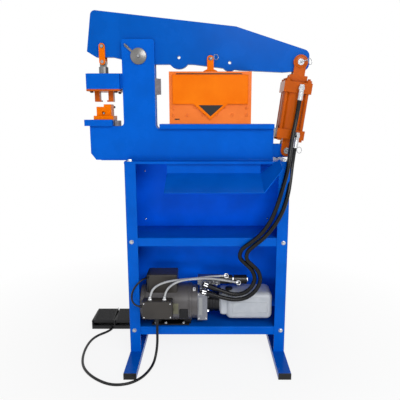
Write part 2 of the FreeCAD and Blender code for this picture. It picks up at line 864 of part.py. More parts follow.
carrier_x = "shear_x - pin_wander / 2"
carrier_blade = slab("carrier_blade", "housing_middle - slot_width / 2 + carrier_gap",
                     "slot_width - 2 * carrier_gap", "carrier_thickness / 2", "carrier_bottom",
                     "blade_top - carrier_bottom")
carrier_dome = cross_bar("carrier_dome", carrier_x, "housing_top + dome_rise - dome_radius", "dome_radius",
                         "link_outer")
dome_trim = slab("dome_trim", f"{carrier_x} - 2 * dome_radius", "4 * dome_radius", "2 * link_outer",
                 "housing_top + carrier_gap - 3 * dome_radius", "3 * dome_radius")
dome_cap = cut("dome_cap", carrier_dome, dome_trim)
dome_stem = slab("dome_stem", f"{carrier_x} - neck_width", "2 * neck_width", "carrier_thickness / 2",
                 "blade_top - dome_rise", "blade_sink + dome_rise + 2 * carrier_gap")
neck_solid = slab("neck_solid", f"{carrier_x} - neck_width / 2", "neck_width", "link_outer", "housing_top + carrier_gap",
                  "shear_pin_height - housing_top - carrier_gap")
neck_eye = cross_bar("neck_eye", carrier_x, "shear_pin_height", "neck_width / 2", "link_outer")
neck_gap = slab("neck_gap", f"{carrier_x} - 2 * dome_radius", "4 * dome_radius", "link_inner",
                "housing_top + dome_rise", "2 * dome_radius")
pin_slot_left = cross_bar("pin_slot_left", "shear_x - pin_wander", "shear_pin_height",
                          "link_pin_radius + slot_play", "2 * link_outer")
pin_slot_right = cross_bar("pin_slot_right", "shear_x", "shear_pin_height", "link_pin_radius + slot_play",
                           "2 * link_outer")
pin_slot_mid = slab("pin_slot_mid", "shear_x - pin_wander", "pin_wander", "2 * link_outer",
                    "shear_pin_height - link_pin_radius - slot_play", "2 * (link_pin_radius + slot_play)")
blade_carrier = cut("blade_carrier",
                    fuse("carrier_solid", carrier_blade, dome_cap, dome_stem, neck_solid, neck_eye),
                    neck_gap, pin_slot_left, pin_slot_right, pin_slot_mid)

# Cylinder: built upright over its base pin, then leaned until it points at the arm's clevis pin

def lean(item):
    """Move a piece that was built upright from the origin to the base pin and turn it along the cylinder."""
    bind(item, "Placement", "placement(vector(base_x; 0; base_pin_height);"
                            " rotation(vector(0; 1; 0); atan2(pin_run; pin_rise)))")
    return item


base_cap = slab("base_cap", "0 - cap_size / 2", "cap_size", "cap_size / 2", "base_cap_start", "base_cap_height")
base_block = slab("base_block", "0 - base_clevis_width / 2", "base_clevis_width", "base_outer", "0",
                  "base_cap_start")
base_eye = cross_bar("base_eye", "0", "0", "base_clevis_width / 2", "base_outer")
base_gap = slab("base_gap", "0 - base_clevis_width", "2 * base_clevis_width", "base_inner",
                "0 - base_clevis_width", "base_clevis_width + base_cap_start - base_ear_thickness")
base_hole = cross_bar("base_hole", "0", "0", "clevis_pin_radius + running_gap", "2 * base_outer")
cylinder_base = lean(cut("cylinder_base", fuse("base_solid", base_cap, base_block, base_eye),
                         base_gap, base_hole))

tube_skin = round_bar("tube_skin", "z", "0", "0", "tube_start", "tube_radius", "tube_length")
tube_bore = round_bar("tube_bore", "z", "0", "0", "tube_start - tube_length", "bore_radius", "3 * tube_length")
cylinder_tube = lean(cut("cylinder_tube", tube_skin, tube_bore))

head_block = slab("head_block", "0 - cap_size / 2", "cap_size", "cap_size / 2", "tube_end", "head_height")
head_bore = round_bar("head_bore", "z", "0", "0", "tube_end - head_height", "rod_radius + running_gap",
                      "3 * head_height")
cylinder_head = lean(cut("cylinder_head", head_block, head_bore))


def tie_rod(name, side_x, side_y):
    """A rod between the two end blocks, with a nut on top of the upper one."""
    x = f"{side_x} * tie_spacing / 2"
    y = f"{side_y} * tie_spacing / 2"
    rod = round_bar(name + "_rod", "z", x, y, "tube_start", "tie_radius", "tube_length")
    nut = hexagon_prism(name + "_nut", x, y, "head_end", "2 * tie_nut_radius", "tie_nut_height")
    return [rod, nut]


tie_rods = lean(together("tie_rods", *[
    piece for side_x in (-1, 1) for side_y in (-1, 1)
    for piece in tie_rod(f"tie_{'ab'[side_x > 0]}{'ab'[side_y > 0]}", side_x, side_y)
]))


def port_fitting(name, offset, level):
    """An elbow on the front of an end block, with the hose's ferrule pointing down."""
    stub = round_bar(name + "_stub", "y", offset, "0 - cap_size / 2 - fitting_stub", level,
                     "stub_radius", "fitting_stub")
    ferrule = round_bar(name + "_ferrule", "z", offset, "0 - cap_size / 2 - fitting_stub",
                        f"{level} - ferrule_length", "ferrule_radius", "ferrule_length + ferrule_radius")
    return fuse(name, stub, ferrule)


port_fittings = lean(together("port_fittings",
                              port_fitting("upper_fitting", "upper_port_offset", "head_end - head_height / 2"),
                              port_fitting("lower_fitting", "lower_port_offset",
                                           "base_cap_start + base_cap_height / 2")))

piston = round_bar("piston", "z", "0", "0", "tube_start", "bore_radius - running_gap", "piston_height")
rod_bar = round_bar("rod_bar", "z", "0", "0", "tube_start", "rod_radius", "clevis_start - tube_start")
piston_rod = lean(fuse("piston_rod", piston, rod_bar))

clevis_base = slab("clevis_base", "0 - clevis_base_width / 2", "clevis_base_width", "ear_outer",
                   "clevis_start", "clevis_base_height")
clevis_stem = slab("clevis_stem", "0 - clevis_neck / 2", "clevis_neck", "ear_outer", "clevis_shoulder",
                   "pin_to_pin - clevis_shoulder")
clevis_head = cross_bar("clevis_head", "0", "pin_to_pin", "clevis_head_radius", "ear_outer")
clevis_slot = slab("clevis_slot", "0 - clevis_base_width", "2 * clevis_base_width", "ear_inner",
                   "clevis_shoulder - clevis_slot_extra", "2 * pin_to_pin")
clevis_hole = cross_bar("clevis_hole", "0", "pin_to_pin", "clevis_pin_radius + clevis_play", "2 * ear_outer")
rod_clevis = lean(cut("rod_clevis", fuse("clevis_solid", clevis_base, clevis_stem, clevis_head),
                      clevis_slot, clevis_hole))

# Chute: one folded sheet under the front edge of the base plate, with a wing at its right

def mitred(path, normals, thickness):
    """The corners of a sheet that follows a folded path, with its second face offset by its thickness."""
    first, second = normals
    fold = (first + second) * (thickness / (1 + first.dot(second)))
    far = [path[0] + first * thickness, path[1] + fold, path[2] + second * thickness]
    return path + far[::-1]


def chute_shape():
    """A strip, a ramp that runs down to the front, and a wing that rises from the ramp's right edge."""
    thickness = number("sheet_thickness")
    left_x = number("stand_x - chute_left")
    width = Vector(number("chute_width"), 0, 0)
    top = Vector(left_x, -number("chute_back"), number("stand_height"))
    fold = Vector(left_x, -number("chute_back"), number("chute_fold"))
    low = Vector(left_x, -number("chute_front"), number("chute_low"))
    slope = low - fold
    under = Vector(0, -slope.z, slope.y).normalize()
    corners = mitred([top, fold, low], [Vector(0, 1, 0), under], thickness)
    folded = Part.Face(Part.makePolygon(corners + corners[:1])).extrude(width)
    root = fold + width + (under - Vector(1, 0, 0)) * (thickness / 2)
    rise = Vector(number("wing_run"), number("chute_back - wing_back"), number("wing_rise"))
    wing_corners = [root, root + rise, root + rise + slope * number("wing_length"), root + slope]
    outward = rise.cross(slope).normalize() * thickness
    if outward.x < 0:
        outward = outward.negative()
    wing = Part.Face(Part.makePolygon(wing_corners + wing_corners[:1])).extrude(outward)
    return folded.fuse(wing).removeSplitter()


chute = doc.addObject("Part::Feature", "chute")
chute.Shape = chute_shape()

# Power unit: motor, pump and tank in one line on the lower tray

motor_skin = round_bar("motor_skin", "x", "motor_x", "unit_axis_y", "unit_axis", "bell_radius", "motor_length")
motor_shell = round_bar("motor_shell", "x", "motor_x + bell_length", "unit_axis_y", "unit_axis", "motor_radius",
                        "motor_length - 2 * bell_length")
motor = fuse("motor", motor_skin, motor_shell)


def motor_saddle(name, x):
    return box(name, x, "unit_axis_y - motor_base_depth / 2", "tray_height", "saddle_width", "motor_base_depth",
               "unit_axis - motor_radius - tray_height + saddle_width / 2")


base_sheet = box("base_sheet", "motor_x + bell_length * 2", "unit_axis_y - motor_base_depth / 2", "tray_height",
                 "motor_base_length", "motor_base_depth", "motor_base_thickness")
saddle_left = motor_saddle("saddle_left", "motor_x + bell_length * 2")
saddle_right = motor_saddle("saddle_right", "motor_x + bell_length * 2 + motor_base_length - saddle_width")
saddle_cut = round_bar("saddle_cut", "x", "motor_x", "unit_axis_y", "unit_axis", "motor_radius", "motor_length")
motor_base = cut("motor_base", fuse("motor_base_solid", base_sheet, saddle_left, saddle_right), saddle_cut)

cover_solid = box("cover_solid", "cover_x", "unit_axis_y - cover_depth / 2", "unit_axis + motor_radius / 2",
                  "cover_length", "cover_depth", "cover_top - unit_axis - motor_radius / 2")
cover_saddle = round_bar("cover_saddle", "x", "motor_x - cover_length", "unit_axis_y", "unit_axis", "motor_radius",
                         "motor_length + 2 * cover_length")
capacitor_cover = cut("capacitor_cover", cover_solid, cover_saddle)

box_case = box("box_case", "box_x", "box_back - box_depth", "box_bottom", "box_length", "box_depth", "box_height")
box_neck = box("box_neck", "box_x + box_length / 4", "box_back", "unit_axis - box_height / 4",
               "box_length / 2", "motor_radius / 2", "box_height / 2")
neck_cut = round_bar("neck_cut", "x", "motor_x - box_length", "unit_axis_y", "unit_axis", "motor_radius",
                     "motor_length + 2 * box_length")
control_box = cut("control_box", fuse("control_solid", box_case, box_neck), neck_cut)

pump_block = box("pump_block", "motor_end", "unit_axis_y - block_side / 2", "block_low", "block_length",
                 "block_side", "block_side")
valve_base = box("valve_base", "motor_end", "unit_axis_y - manifold_depth / 2", "manifold_low",
                 "manifold_length", "manifold_depth", "manifold_height")
valve_riser = box("valve_riser", "motor_end + riser_length / 3", "unit_axis_y - manifold_depth / 2",
                  "block_high", "riser_length", "manifold_depth", "riser_height")
valve_manifold = fuse("valve_manifold", valve_base, valve_riser)


def coil(name, place):
    x = f"motor_end + manifold_length + {place} * (coil_length + coil_gap)"
    can = round_bar(name + "_can", "x", x, "unit_axis_y", "manifold_low + manifold_height / 2", "coil_radius",
                    "coil_length")
    stem = round_bar(name + "_stem", "x", f"{x} + coil_length", "unit_axis_y",
                     "manifold_low + manifold_height / 2", "coil_radius / 2", "coil_gap")
    return [can, stem]


solenoid_coils = fuse("solenoid_coils", *coil("coil_near", "0"), *coil("coil_far", "1"))

pump_body = round_bar("pump_body", "x", "pump_x", "unit_axis_y", "unit_axis", "pump_radius", "pump_length")


def end_edges(shape):
    """The edges round the two ends of a shape that was padded along X."""
    ends = (shape.BoundBox.XMin, shape.BoundBox.XMax)
    found = []
    for place, edge in enumerate(shape.Edges, start=1):
        span = edge.BoundBox
        if any(abs(span.XMin - end) + abs(span.XMax - end) < FLAT for end in ends):
            found.append(f"Edge{place}")
    return found


def make_tank():
    """A blown plastic tank: a rounded box behind a round neck, with its filler on top."""
    half_depth, half_height = "tank_depth / 2", "tank_height / 2"
    body = plate("tank_body", "YZ_Plane", [
        (f"0 - {half_depth}", f"0 - {half_height}"),
        (half_depth, f"0 - {half_height}"),
        (half_depth, half_height),
        (f"0 - {half_depth}", half_height),
    ], "tank_length", midplane=False)
    round_corners(body, "x", [("tank_round", [0, 1, 2, 3])])
    fillet = body.Tip
    chamfer = body.newObject("PartDesign::Chamfer", "tank_bevel")
    chamfer.Base = (fillet, end_edges(fillet.Shape))
    bind(chamfer, "Size", "tank_bevel")
    doc.recompute()
    put(body, "tank_x", "unit_axis_y", "unit_axis")
    neck = round_bar("tank_neck", "x", "neck_x", "unit_axis_y", "unit_axis", "neck_radius",
                     "tank_neck_length + tank_round")
    filler = round_bar("tank_filler", "z", "tank_x + 2 * tank_round", "unit_axis_y",
                       "unit_axis + tank_height / 2 - filler_height", "filler_radius", "2 * filler_height")
    return fuse("tank", body, neck, filler)


tank = make_tank()

# Foot switch: a base with three cheeks and two sprung treadles between them

pedal_plate = box("pedal_plate", "pedal_left_edge", "pedal_front", "0", "pedal_width", "pedal_depth",
                  "pedal_base_height")


def pedal_cheek(name, place):
    x = f"pedal_left_edge + {place} * (pedal_width - pedal_wall) / 2"
    return box(name, x, "pedal_front", "0", "pedal_wall", "pedal_depth", "pedal_side_height")


treadle_axle = round_bar("treadle_axle", "x", "pedal_left_edge", "treadle_axle_y", "treadle_axle_z", "treadle_pin",
                         "pedal_width")
pedal_base = fuse("pedal_base", pedal_plate, pedal_cheek("cheek_left", 0), pedal_cheek("cheek_middle", 1),
                  pedal_cheek("cheek_right", 2), treadle_axle)


def treadle(name, place):
    """A wedge that rises to the back, hinged at its back edge."""
    middle = f"pedal_middle + {place} * (pedal_width - pedal_wall) / 4"
    corners = [
        ("pedal_front + pedal_wall", "treadle_low"),
        ("pedal_front + pedal_depth - pedal_wall", "treadle_low"),
        ("pedal_front + pedal_depth - pedal_wall", "treadle_high + pedal_wall"),
        ("pedal_front + pedal_wall", "treadle_high - pedal_wall"),
    ]
    axle_hole = ("treadle_axle_y", "treadle_axle_z", "treadle_pin + running_gap")
    body = plate(name, "YZ_Plane", corners, "treadle_width", [axle_hole])
    return put(body, middle, "0", "0")


treadle_left = treadle("treadle_left", -1)
treadle_right = treadle("treadle_right", 1)

# Hose ports of the power unit: a stub to the front, then a ferrule that points right and down


def hose_port(name, x, root, front, height, tilt, length):
    stub = round_bar(name + "_stub", "y", x, f"0 - {front}", height, "stub_radius", f"{front} - ({root})")
    elbow = doc.addObject("Part::Sphere", name + "_elbow")
    bind(elbow, "Radius", "ferrule_radius")
    put(elbow, x, f"0 - {front}", height)
    ferrule = doc.addObject("Part::Cylinder", name + "_ferrule")
    bind(ferrule, "Radius", "ferrule_radius")
    bind(ferrule, "Height", length)
    bind(ferrule, "Placement",
         f"placement(vector({x}; 0 - {front}; {height}); rotation(vector(0; 1; 0); 90 + {tilt}))")
    return fuse(name, stub, elbow, ferrule)


manifold_front = "unit_y + manifold_depth / 2"
hose_ports = together("hose_ports",
                      hose_port("port_one", "port_x", manifold_front, "port_front", "port_height", "port_tilt",
                                "port_length"),
                      hose_port("port_two", "low_port_x", manifold_front, "low_port_front", "low_port_height",
                                "low_port_tilt", "low_port_length"))

# Hoses and leads. Each route is a list of corners; the tube rounds every corner with one arc.

CORNER_SHARE = 0.45


def cord_path(name, points):
    """Straight runs joined by tangent arcs, each as large as its two runs allow."""
    edges = []
    radii = []
    start = points[0]
    for before, corner, after in zip(points, points[1:], points[2:]):
        back = (before - corner).normalize()
        ahead = (after - corner).normalize()
        reach = CORNER_SHARE * min(before.distanceToPoint(corner), after.distanceToPoint(corner))
        half_turn = (math.pi - back.getAngle(ahead)) / 2
        radius = reach / math.tan(half_turn)
        middle = corner + (back + ahead).normalize() * (radius / math.cos(half_turn) - radius)
        first, last = corner + back * reach, corner + ahead * reach
        edges.append(Part.LineSegment(start, first).toShape())
        edges.append(Part.Arc(first, middle, last).toShape())
        radii.append(round(radius))
        start = last
    edges.append(Part.LineSegment(start, points[-1]).toShape())
    print(name, "radii", radii)
    return Part.Wire(edges)


def cord_tube(name, radius_name, route):
    points = [Vector(*corner) for corner in route]
    radius = number(radius_name)
    path = cord_path(name, points)
    ring = Part.Wire(Part.makeCircle(radius, points[0], points[1] - points[0]))
    tube = path.makePipeShell([ring], True, True)
    print(name, "length", round(path.Length), "volume share",
          round(tube.Volume / (math.pi * radius ** 2 * path.Length), 4))
    return tube


def cord(name, radius_name, route):
    item = doc.addObject("Part::Feature", name)
    item.Shape = cord_tube(name, radius_name, route)
    return item


def hose_half(name, tube, low, high):
    """The stretch of a hose between two heights."""
    reach = 2 * number("stand_width")
    slice_box = Part.makeBox(reach, reach, high - low, Vector(-reach / 2, -reach / 2, low))
    item = doc.addObject("Part::Feature", name)
    item.Shape = tube.common(slice_box).Solids[0]
    return item


hose_one_route = [
    (440.3, -73, 1093.2), (431.3, -73, 1023.8), (414, -92, 955), (402, -116, 891), (396, -130, 826),
    (386, -134, 755), (367, -135, 684), (336, -135, 612), (294, -131, 550), (256, -125, 503),
    (240, -119, 459), (246, -115, 421), (267.5, -113, 389.7), (271, -113, 352), (255.3, -114, 317.2),
    (224.7, -116, 294.7), (185, -115, 290), (147, -112, 301), (109.3, -110, 314.8),
]
hose_two_route = [
    (428.2, -73, 905.6), (421, -75, 846), (419, -98, 785), (411, -122, 722), (390, -131, 655),
    (350, -131, 590), (306, -129, 535), (274, -124, 489), (267.5, -120, 457.7), (273.7, -117, 426.3),
    (292.8, -115, 398), (297, -115, 350.3), (276.6, -116, 304.6), (236.7, -118, 274.5),
    (187.2, -119, 267.5), (142, -118, 276), (97.8, -116, 289.2),
]
conduit_left_route = [
    (-165, -150, 281.4), (-162, -149, 311), (-145, -141, 335), (-112, -128, 348), (-67, -110, 352),
    (-18, -91, 349), (37, -75, 349), (93, -63, 352), (154, -51, 350),
]
conduit_right_route = [
    (-105, -150, 281.4), (-103, -149, 308), (-88, -142, 333), (-58, -130, 351), (-16, -116, 357),
    (34, -100, 355), (89, -84, 350), (150, -70, 336), (207, -61, 322),
]
motor_lead_route = [
    (-182, -76.4, 357), (-182, -95, 358), (-190, -113, 361), (-207, -127, 355), (-226, -137, 336),
    (-240, -144, 311), (-242, -150, 284), (-231, -154, 264), (-214, -154, 254.6), (-198.4, -154, 254),
]
pedal_cord_route = [
    (-138, -147, 202.7), (-138, -147, 143), (-139, -142, 86), (-144, -152, 40), (-152, -184, 12),
    (-168, -232, 5.8), (-194, -284, 5.8), (-238, -318, 5.8), (-296, -324, 5.8), (-348, -300, 5.8),
    (-400, -258, 5.8), (-440, -206, 5.8), (-462, -148, 5.8), (-473, -80, 5.8), (-474, -16, 5.8),
    (-466, 34, 5.8), (-446, 72, 5.8), (-418, 98, 5.8), (-400, 122, 5.8), (-394.6, 143, 5.8),
]

hose_one_tube = cord_tube("hose_one", "hose_radius", hose_one_route)
split = number("hose_split_height")
split_gap = number("side_gap")
hose_one_upper = hose_half("hose_one_upper", hose_one_tube, split + split_gap / 2, 2 * split)
hose_one_lower = hose_half("hose_one_lower", hose_one_tube, 0, split - split_gap / 2)
hose_two = cord("hose_two", "hose_radius", hose_two_route)
conduit_left = cord("conduit_left", "conduit_radius", conduit_left_route)
conduit_right = cord("conduit_right", "conduit_radius", conduit_right_route)
motor_lead = cord("motor_lead", "lead_radius", motor_lead_route)
pedal_cord = cord("pedal_cord", "cord_radius", pedal_cord_route)

# Everything that is written out

nodes = [
    stand_side_left, stand_side_right, foot_left, foot_right, foot_caps, lower_tray, mid_shelf, back_panel,
    base_plate, frame_plate_front, frame_plate_rear, frame_spacers, cylinder_lug, die_table, shear_table,
    table_stop, gauge_block, frame_pins, pin_washers, guide_block, stripper, die_holder, arm, arm_pins, ram,
    ram_pin, punch_links, shear_housing, shear_guard, blade_carrier, cylinder_base, cylinder_tube,
    cylinder_head, tie_rods, port_fittings, piston_rod, rod_clevis, chute, motor, motor_base,
    capacitor_cover, control_box, pump_block, valve_manifold, solenoid_coils, pump_body, tank, pedal_base,
    treadle_left, treadle_right, hose_ports, hose_one_upper, hose_one_lower, hose_two, conduit_left,
    conduit_right, motor_lead, pedal_cord,
]

doc.recompute()
for item in doc.Objects:
    if "Invalid" in item.State or "Error" in item.State:
        raise RuntimeError(f"{item.Name} failed: {item.State}")
for item in nodes:
    if item.Shape.isNull() or not item.Shape.isValid():
        raise RuntimeError(f"{item.Name} has no valid shape")
    item.Shape.exportStep(f"parts/{item.Name}.step")
    print(item.Name, len(item.Shape.Solids), round(item.Shape.Volume / 1000))
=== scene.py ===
import math
import bmesh
import bpy
import numpy as np
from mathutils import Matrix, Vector


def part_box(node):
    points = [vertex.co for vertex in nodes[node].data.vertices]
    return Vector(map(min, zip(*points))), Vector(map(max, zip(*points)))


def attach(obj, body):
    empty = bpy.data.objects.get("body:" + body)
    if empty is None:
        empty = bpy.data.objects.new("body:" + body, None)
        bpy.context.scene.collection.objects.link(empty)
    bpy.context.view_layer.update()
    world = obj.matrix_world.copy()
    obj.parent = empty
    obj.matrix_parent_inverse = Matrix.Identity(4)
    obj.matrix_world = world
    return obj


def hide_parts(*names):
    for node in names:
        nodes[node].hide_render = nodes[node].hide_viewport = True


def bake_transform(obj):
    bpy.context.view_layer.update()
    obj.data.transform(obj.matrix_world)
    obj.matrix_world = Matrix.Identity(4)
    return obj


# Looks of a hydraulic ironworker. Metres: X to the right, Y to the back, Z up, floor at 0.

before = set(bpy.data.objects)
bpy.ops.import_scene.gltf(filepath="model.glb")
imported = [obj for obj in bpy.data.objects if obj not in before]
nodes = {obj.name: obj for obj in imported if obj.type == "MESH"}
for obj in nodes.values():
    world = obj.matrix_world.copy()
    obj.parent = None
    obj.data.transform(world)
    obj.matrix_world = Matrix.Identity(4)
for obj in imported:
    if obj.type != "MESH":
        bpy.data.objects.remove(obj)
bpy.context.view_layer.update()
mm = 0.001


# Colours and material nodes

def hexColour(text, alpha=1.0):
    # sRGB hex to the linear values that a shader takes
    values = np.array([int(text[i:i + 2], 16) for i in (1, 3, 5)]) / 255
    linear = np.where(values <= 0.04045, values / 12.92, ((values + 0.055) / 1.055) ** 2.4)
    return (*linear.tolist(), alpha)


def addNode(material, kind, inputs=None, **settings):
    # one node with its settings; an input is a value or an output socket to link
    tree = material.node_tree
    node = tree.nodes.new("ShaderNode" + kind)
    for name, value in settings.items():
        setattr(node, name, value)
    for name, value in (inputs or {}).items():
        socket = node.inputs[name]
        if isinstance(value, bpy.types.NodeSocket):
            tree.links.new(value, socket)
        else:
            socket.default_value = value
    return node


def newMaterial(name, **shaderValues):
    # a shader with an output; an underscore in a value's name stands for a space in its socket's
    material = bpy.data.materials.new(name)
    material.use_nodes = True
    material.node_tree.nodes.clear()
    shader = addNode(material, "BsdfPrincipled")
    addNode(material, "OutputMaterial", {"Surface": shader.outputs[0]}, target="ALL")
    for key, value in shaderValues.items():
        shader.inputs[key.replace("_", " ")].default_value = value
    return material, shader


def link(material, output, socket):
    material.node_tree.links.new(output, socket)


surfaceFacts = {
    "cloudBand": (0.32, 0.68),  # the part of the noise over which the two colours blend
    "cloudDetail": 4.0,
    "grainDetail": 2.0,
    "glossSpread": (0.8, 1.25),  # times the roughness
    "bumpStrength": 0.5,
    "bevelSamples": 4,
    "enamelCloudMm": 90,
    "mouldedCloudMm": 35,
    "metalCloud": 1.5,  # times the grain
    "metalEdgeMm": 0.6,
    "mouldedEdgeMm": 0.8,
}


def surfaced(name, main, dark, roughness, cloudMm, grainMm, bumpMm, edgeMm, stretch=(1, 1, 1),
             **shaderValues):
    # clouds of cloudMm blend the two colours and vary the gloss; grains of grainMm lift the surface by
    # bumpMm, drawn a little coarser than life so that they show; edges are rounded by edgeMm
    material, shader = newMaterial(name, **shaderValues)
    low, high = surfaceFacts["cloudBand"]
    smooth, dull = surfaceFacts["glossSpread"]
    point = addNode(material, "TexCoord").outputs["Object"]
    drawn = addNode(material, "Mapping", {"Vector": point, "Scale": stretch}).outputs[0]
    cloud = addNode(material, "TexNoise", {"Vector": drawn, "Scale": 1 / (cloudMm * mm),
                                           "Detail": surfaceFacts["cloudDetail"]}).outputs[0]
    grain = addNode(material, "TexNoise", {"Vector": drawn, "Scale": 1 / (grainMm * mm),
                                           "Detail": surfaceFacts["grainDetail"]}).outputs[0]
    share = addNode(material, "MapRange", {"Value": cloud, "From Min": low, "From Max": high}).outputs[0]
    colour = addNode(material, "Mix", {0: share, 6: hexColour(dark), 7: hexColour(main)}, data_type="RGBA")
    link(material, colour.outputs[2], shader.inputs["Base Color"])
    gloss = addNode(material, "MapRange", {"Value": cloud, "To Min": roughness * smooth,
                                           "To Max": roughness * dull})
    link(material, gloss.outputs[0], shader.inputs["Roughness"])
    edge = addNode(material, "Bevel", {"Radius": edgeMm * mm}, samples=surfaceFacts["bevelSamples"])
    bump = addNode(material, "Bump", {"Height": grain, "Strength": surfaceFacts["bumpStrength"],
                                      "Distance": bumpMm * mm, "Normal": edge.outputs[0]})
    link(material, bump.outputs[0], shader.inputs["Normal"])
    return material


def enamelPaint(name, main, dark, roughness, grainMm=1.8, bumpMm=0.035, edgeMm=1.2, gloss=0.06):
    # sprayed enamel: an even colour over broad clouds, a faint orange peel, paint rounded at the edges
    return surfaced(name, main, dark, roughness, surfaceFacts["enamelCloudMm"], grainMm, bumpMm, edgeMm,
                    Specular_IOR_Level=gloss)


def bareMetal(name, main, dark, roughness, grainMm=1.0, bumpMm=0.03, stretch=(1, 1, 1)):
    # bare metal: colour and gloss that vary at the size of its own scratches or cast grain
    return surfaced(name, main, dark, roughness, grainMm * surfaceFacts["metalCloud"], grainMm, bumpMm,
                    surfaceFacts["metalEdgeMm"], stretch, Metallic=1.0)


def moulded(name, main, dark, roughness, grainMm=0.8, bumpMm=0.04, **shaderValues):
    # moulded plastic or rubber: slightly uneven gloss and the grain of the mould
    return surfaced(name, main, dark, roughness, surfaceFacts["mouldedCloudMm"], grainMm, bumpMm,
                    surfaceFacts["mouldedEdgeMm"], **shaderValues)


# stand: enamel sprayed on folded sheet, smooth and even with soft light along each fold
sheetEnamel = enamelPaint("blueSheetEnamel", "#0059C2", "#0052B6", roughness=0.24, grainMm=1.6)
# frame: the same enamel on flame-cut plate, so its peel is coarser and its edges rounder
plateEnamel = enamelPaint("bluePlateEnamel", "#015BC6", "#0155BA",
                          roughness=0.26, grainMm=2.4, bumpMm=0.07, edgeMm=1.6)
# arm: the frame's enamel on plate, drawn a touch deeper as painted shade over the arm
shadedArmEnamel = enamelPaint("blueArmPaintedShade", "#0157B8", "#0150AC",
                        roughness=0.26, grainMm=2.4, bumpMm=0.07, edgeMm=1.6)
# back sheet: the stand's blue enamel drawn lighter and purer, painted light that makes up for the light
# falling short inside the bays
litBackPanelEnamel = enamelPaint("bluePanelPaintedLight", "#0064F2", "#005CE2", roughness=0.32, grainMm=1.6)
# tooling: warm orange enamel on machined blocks
orangeEnamel = enamelPaint("orangeEnamel", "#EA7200", "#E06900", roughness=0.26, bumpMm=0.04)
# cylinder and stripper: a browner orange, with wet highlights down the tube and the rods; on the stripper,
# orange like the tooling, the browner colour is painted shade from the guide block above it
cylinderOrangeAndStripperShade = enamelPaint("burntOrangeAndStripperShade", "#BC5408", "#A84A04",
                             roughness=0.22, bumpMm=0.04, gloss=0.14)
# shear housing: orange drawn paler and pinker as a painted reflection of a sheen across it, and glossier
sheenedHousingEnamel = enamelPaint("paintedSheenOrange", "#E6762A", "#DC6C20", roughness=0.30, bumpMm=0.05, gloss=0.3)
# guard: a pressed cover in thinner orange paint, flatter than the blocks
guardEnamel = enamelPaint("orangeGuardEnamel", "#EA760C", "#E46C06", roughness=0.34)
# motor: grey machine enamel over cast ribs, half gloss
motorPaint = enamelPaint("motorEnamel", "#535153", "#464343", roughness=0.30, grainMm=1.2, gloss=0.5)
# boxes: brown-grey enamel on pressed sheet
boxPaint = enamelPaint("controlBoxEnamel", "#393633", "#312E2C", roughness=0.34, grainMm=1.2, gloss=0.3)
# pins and rod: zinc plate or chrome, cool and bright with a soft mirror
zincSteel = bareMetal("zincPlatedSteel", "#AEB0B3", "#85878B", roughness=0.24, grainMm=1.2)
# fittings: nickel plate, nearly white where it faces the light
brightNickel = bareMetal("nickelFitting", "#DADBDD", "#B4B6B9", roughness=0.22)
# ram and washers: ground steel, grinding lines drawn along one way
groundSteel = bareMetal("groundSteel", "#858483", "#666564", roughness=0.34, grainMm=0.8, stretch=(1, 1, 14))
# pump and screws: oxide-blackened steel, a dull oily sheen
darkSteel = bareMetal("blackOxideSteel", "#3A3A3C", "#242426", roughness=0.42)
# valve block: cast and milled aluminium, pale with a sandy grain
castAluminium = bareMetal("castAluminium", "#94969E", "#74767E", roughness=0.42, grainMm=1.4, bumpMm=0.12)
# gauge block and stop: cast iron under its dull skin, which scatters light like paint
castIron = surfaced("castIronSkin", "#7A747A", "#646064",
                    roughness=0.5, cloudMm=12, grainMm=1.2, bumpMm=0.10, edgeMm=0.6,
                    Specular_IOR_Level=0.3)
# bare tags: thin rolled foil, satin
plateFoil = bareMetal("bareTagFoil", "#A7A9AB", "#8E9092", roughness=0.38, grainMm=0.9, bumpMm=0.02)
# rating plate: an aged anodised sheet, olive grey
agedPlate = bareMetal("agedPlate", "#7E7D6C", "#6A6959", roughness=0.48, grainMm=0.9, bumpMm=0.02)
# caps, grips and treads: moulded nylon, near black with a fine spark grain
blackPlastic = moulded("mouldedNylon", "#131315", "#0C0C0E",
                       roughness=0.40, bumpMm=0.05, Specular_IOR_Level=0.35)
# hoses: cloth-cured rubber, black with a long soft highlight
hoseRubber = moulded("hoseRubber", "#0D0D0F", "#060607",
                     roughness=0.27, grainMm=1.1, bumpMm=0.05, Specular_IOR_Level=0.25)
# leads: extruded rubber jacket
leadRubber = moulded("leadJacket", "#0E0E0F", "#080809", roughness=0.34, grainMm=0.9, Specular_IOR_Level=0.3)
# coils: cast resin, black and slightly glossy
coilResin = moulded("coilResin", "#1A1A1C", "#121214", roughness=0.33)
# conduits: grey vinyl, ribbed by its mesh
conduitVinyl = moulded("conduitVinyl", "#B4B6B8", "#A0A2A5", roughness=0.42, grainMm=0.9, bumpMm=0.03)
# small tag: white plastic
whitePlastic = moulded("whitePlastic", "#E6E7E8", "#D6D7D9", roughness=0.40, bumpMm=0.03)
# tank: blow-moulded polythene, milky, with light that soaks in; drawn greyer than the polythene's own colour
# as painted shade from the shelf above it
shadedTankPlastic = moulded("blownPolytheneShaded", "#B1B5BB", "#A6ABB2",
                      roughness=0.34, grainMm=2.0, bumpMm=0.10, Subsurface_Weight=0.25,
                      Subsurface_Radius=(0.02, 0.02, 0.02))
print("materials made")

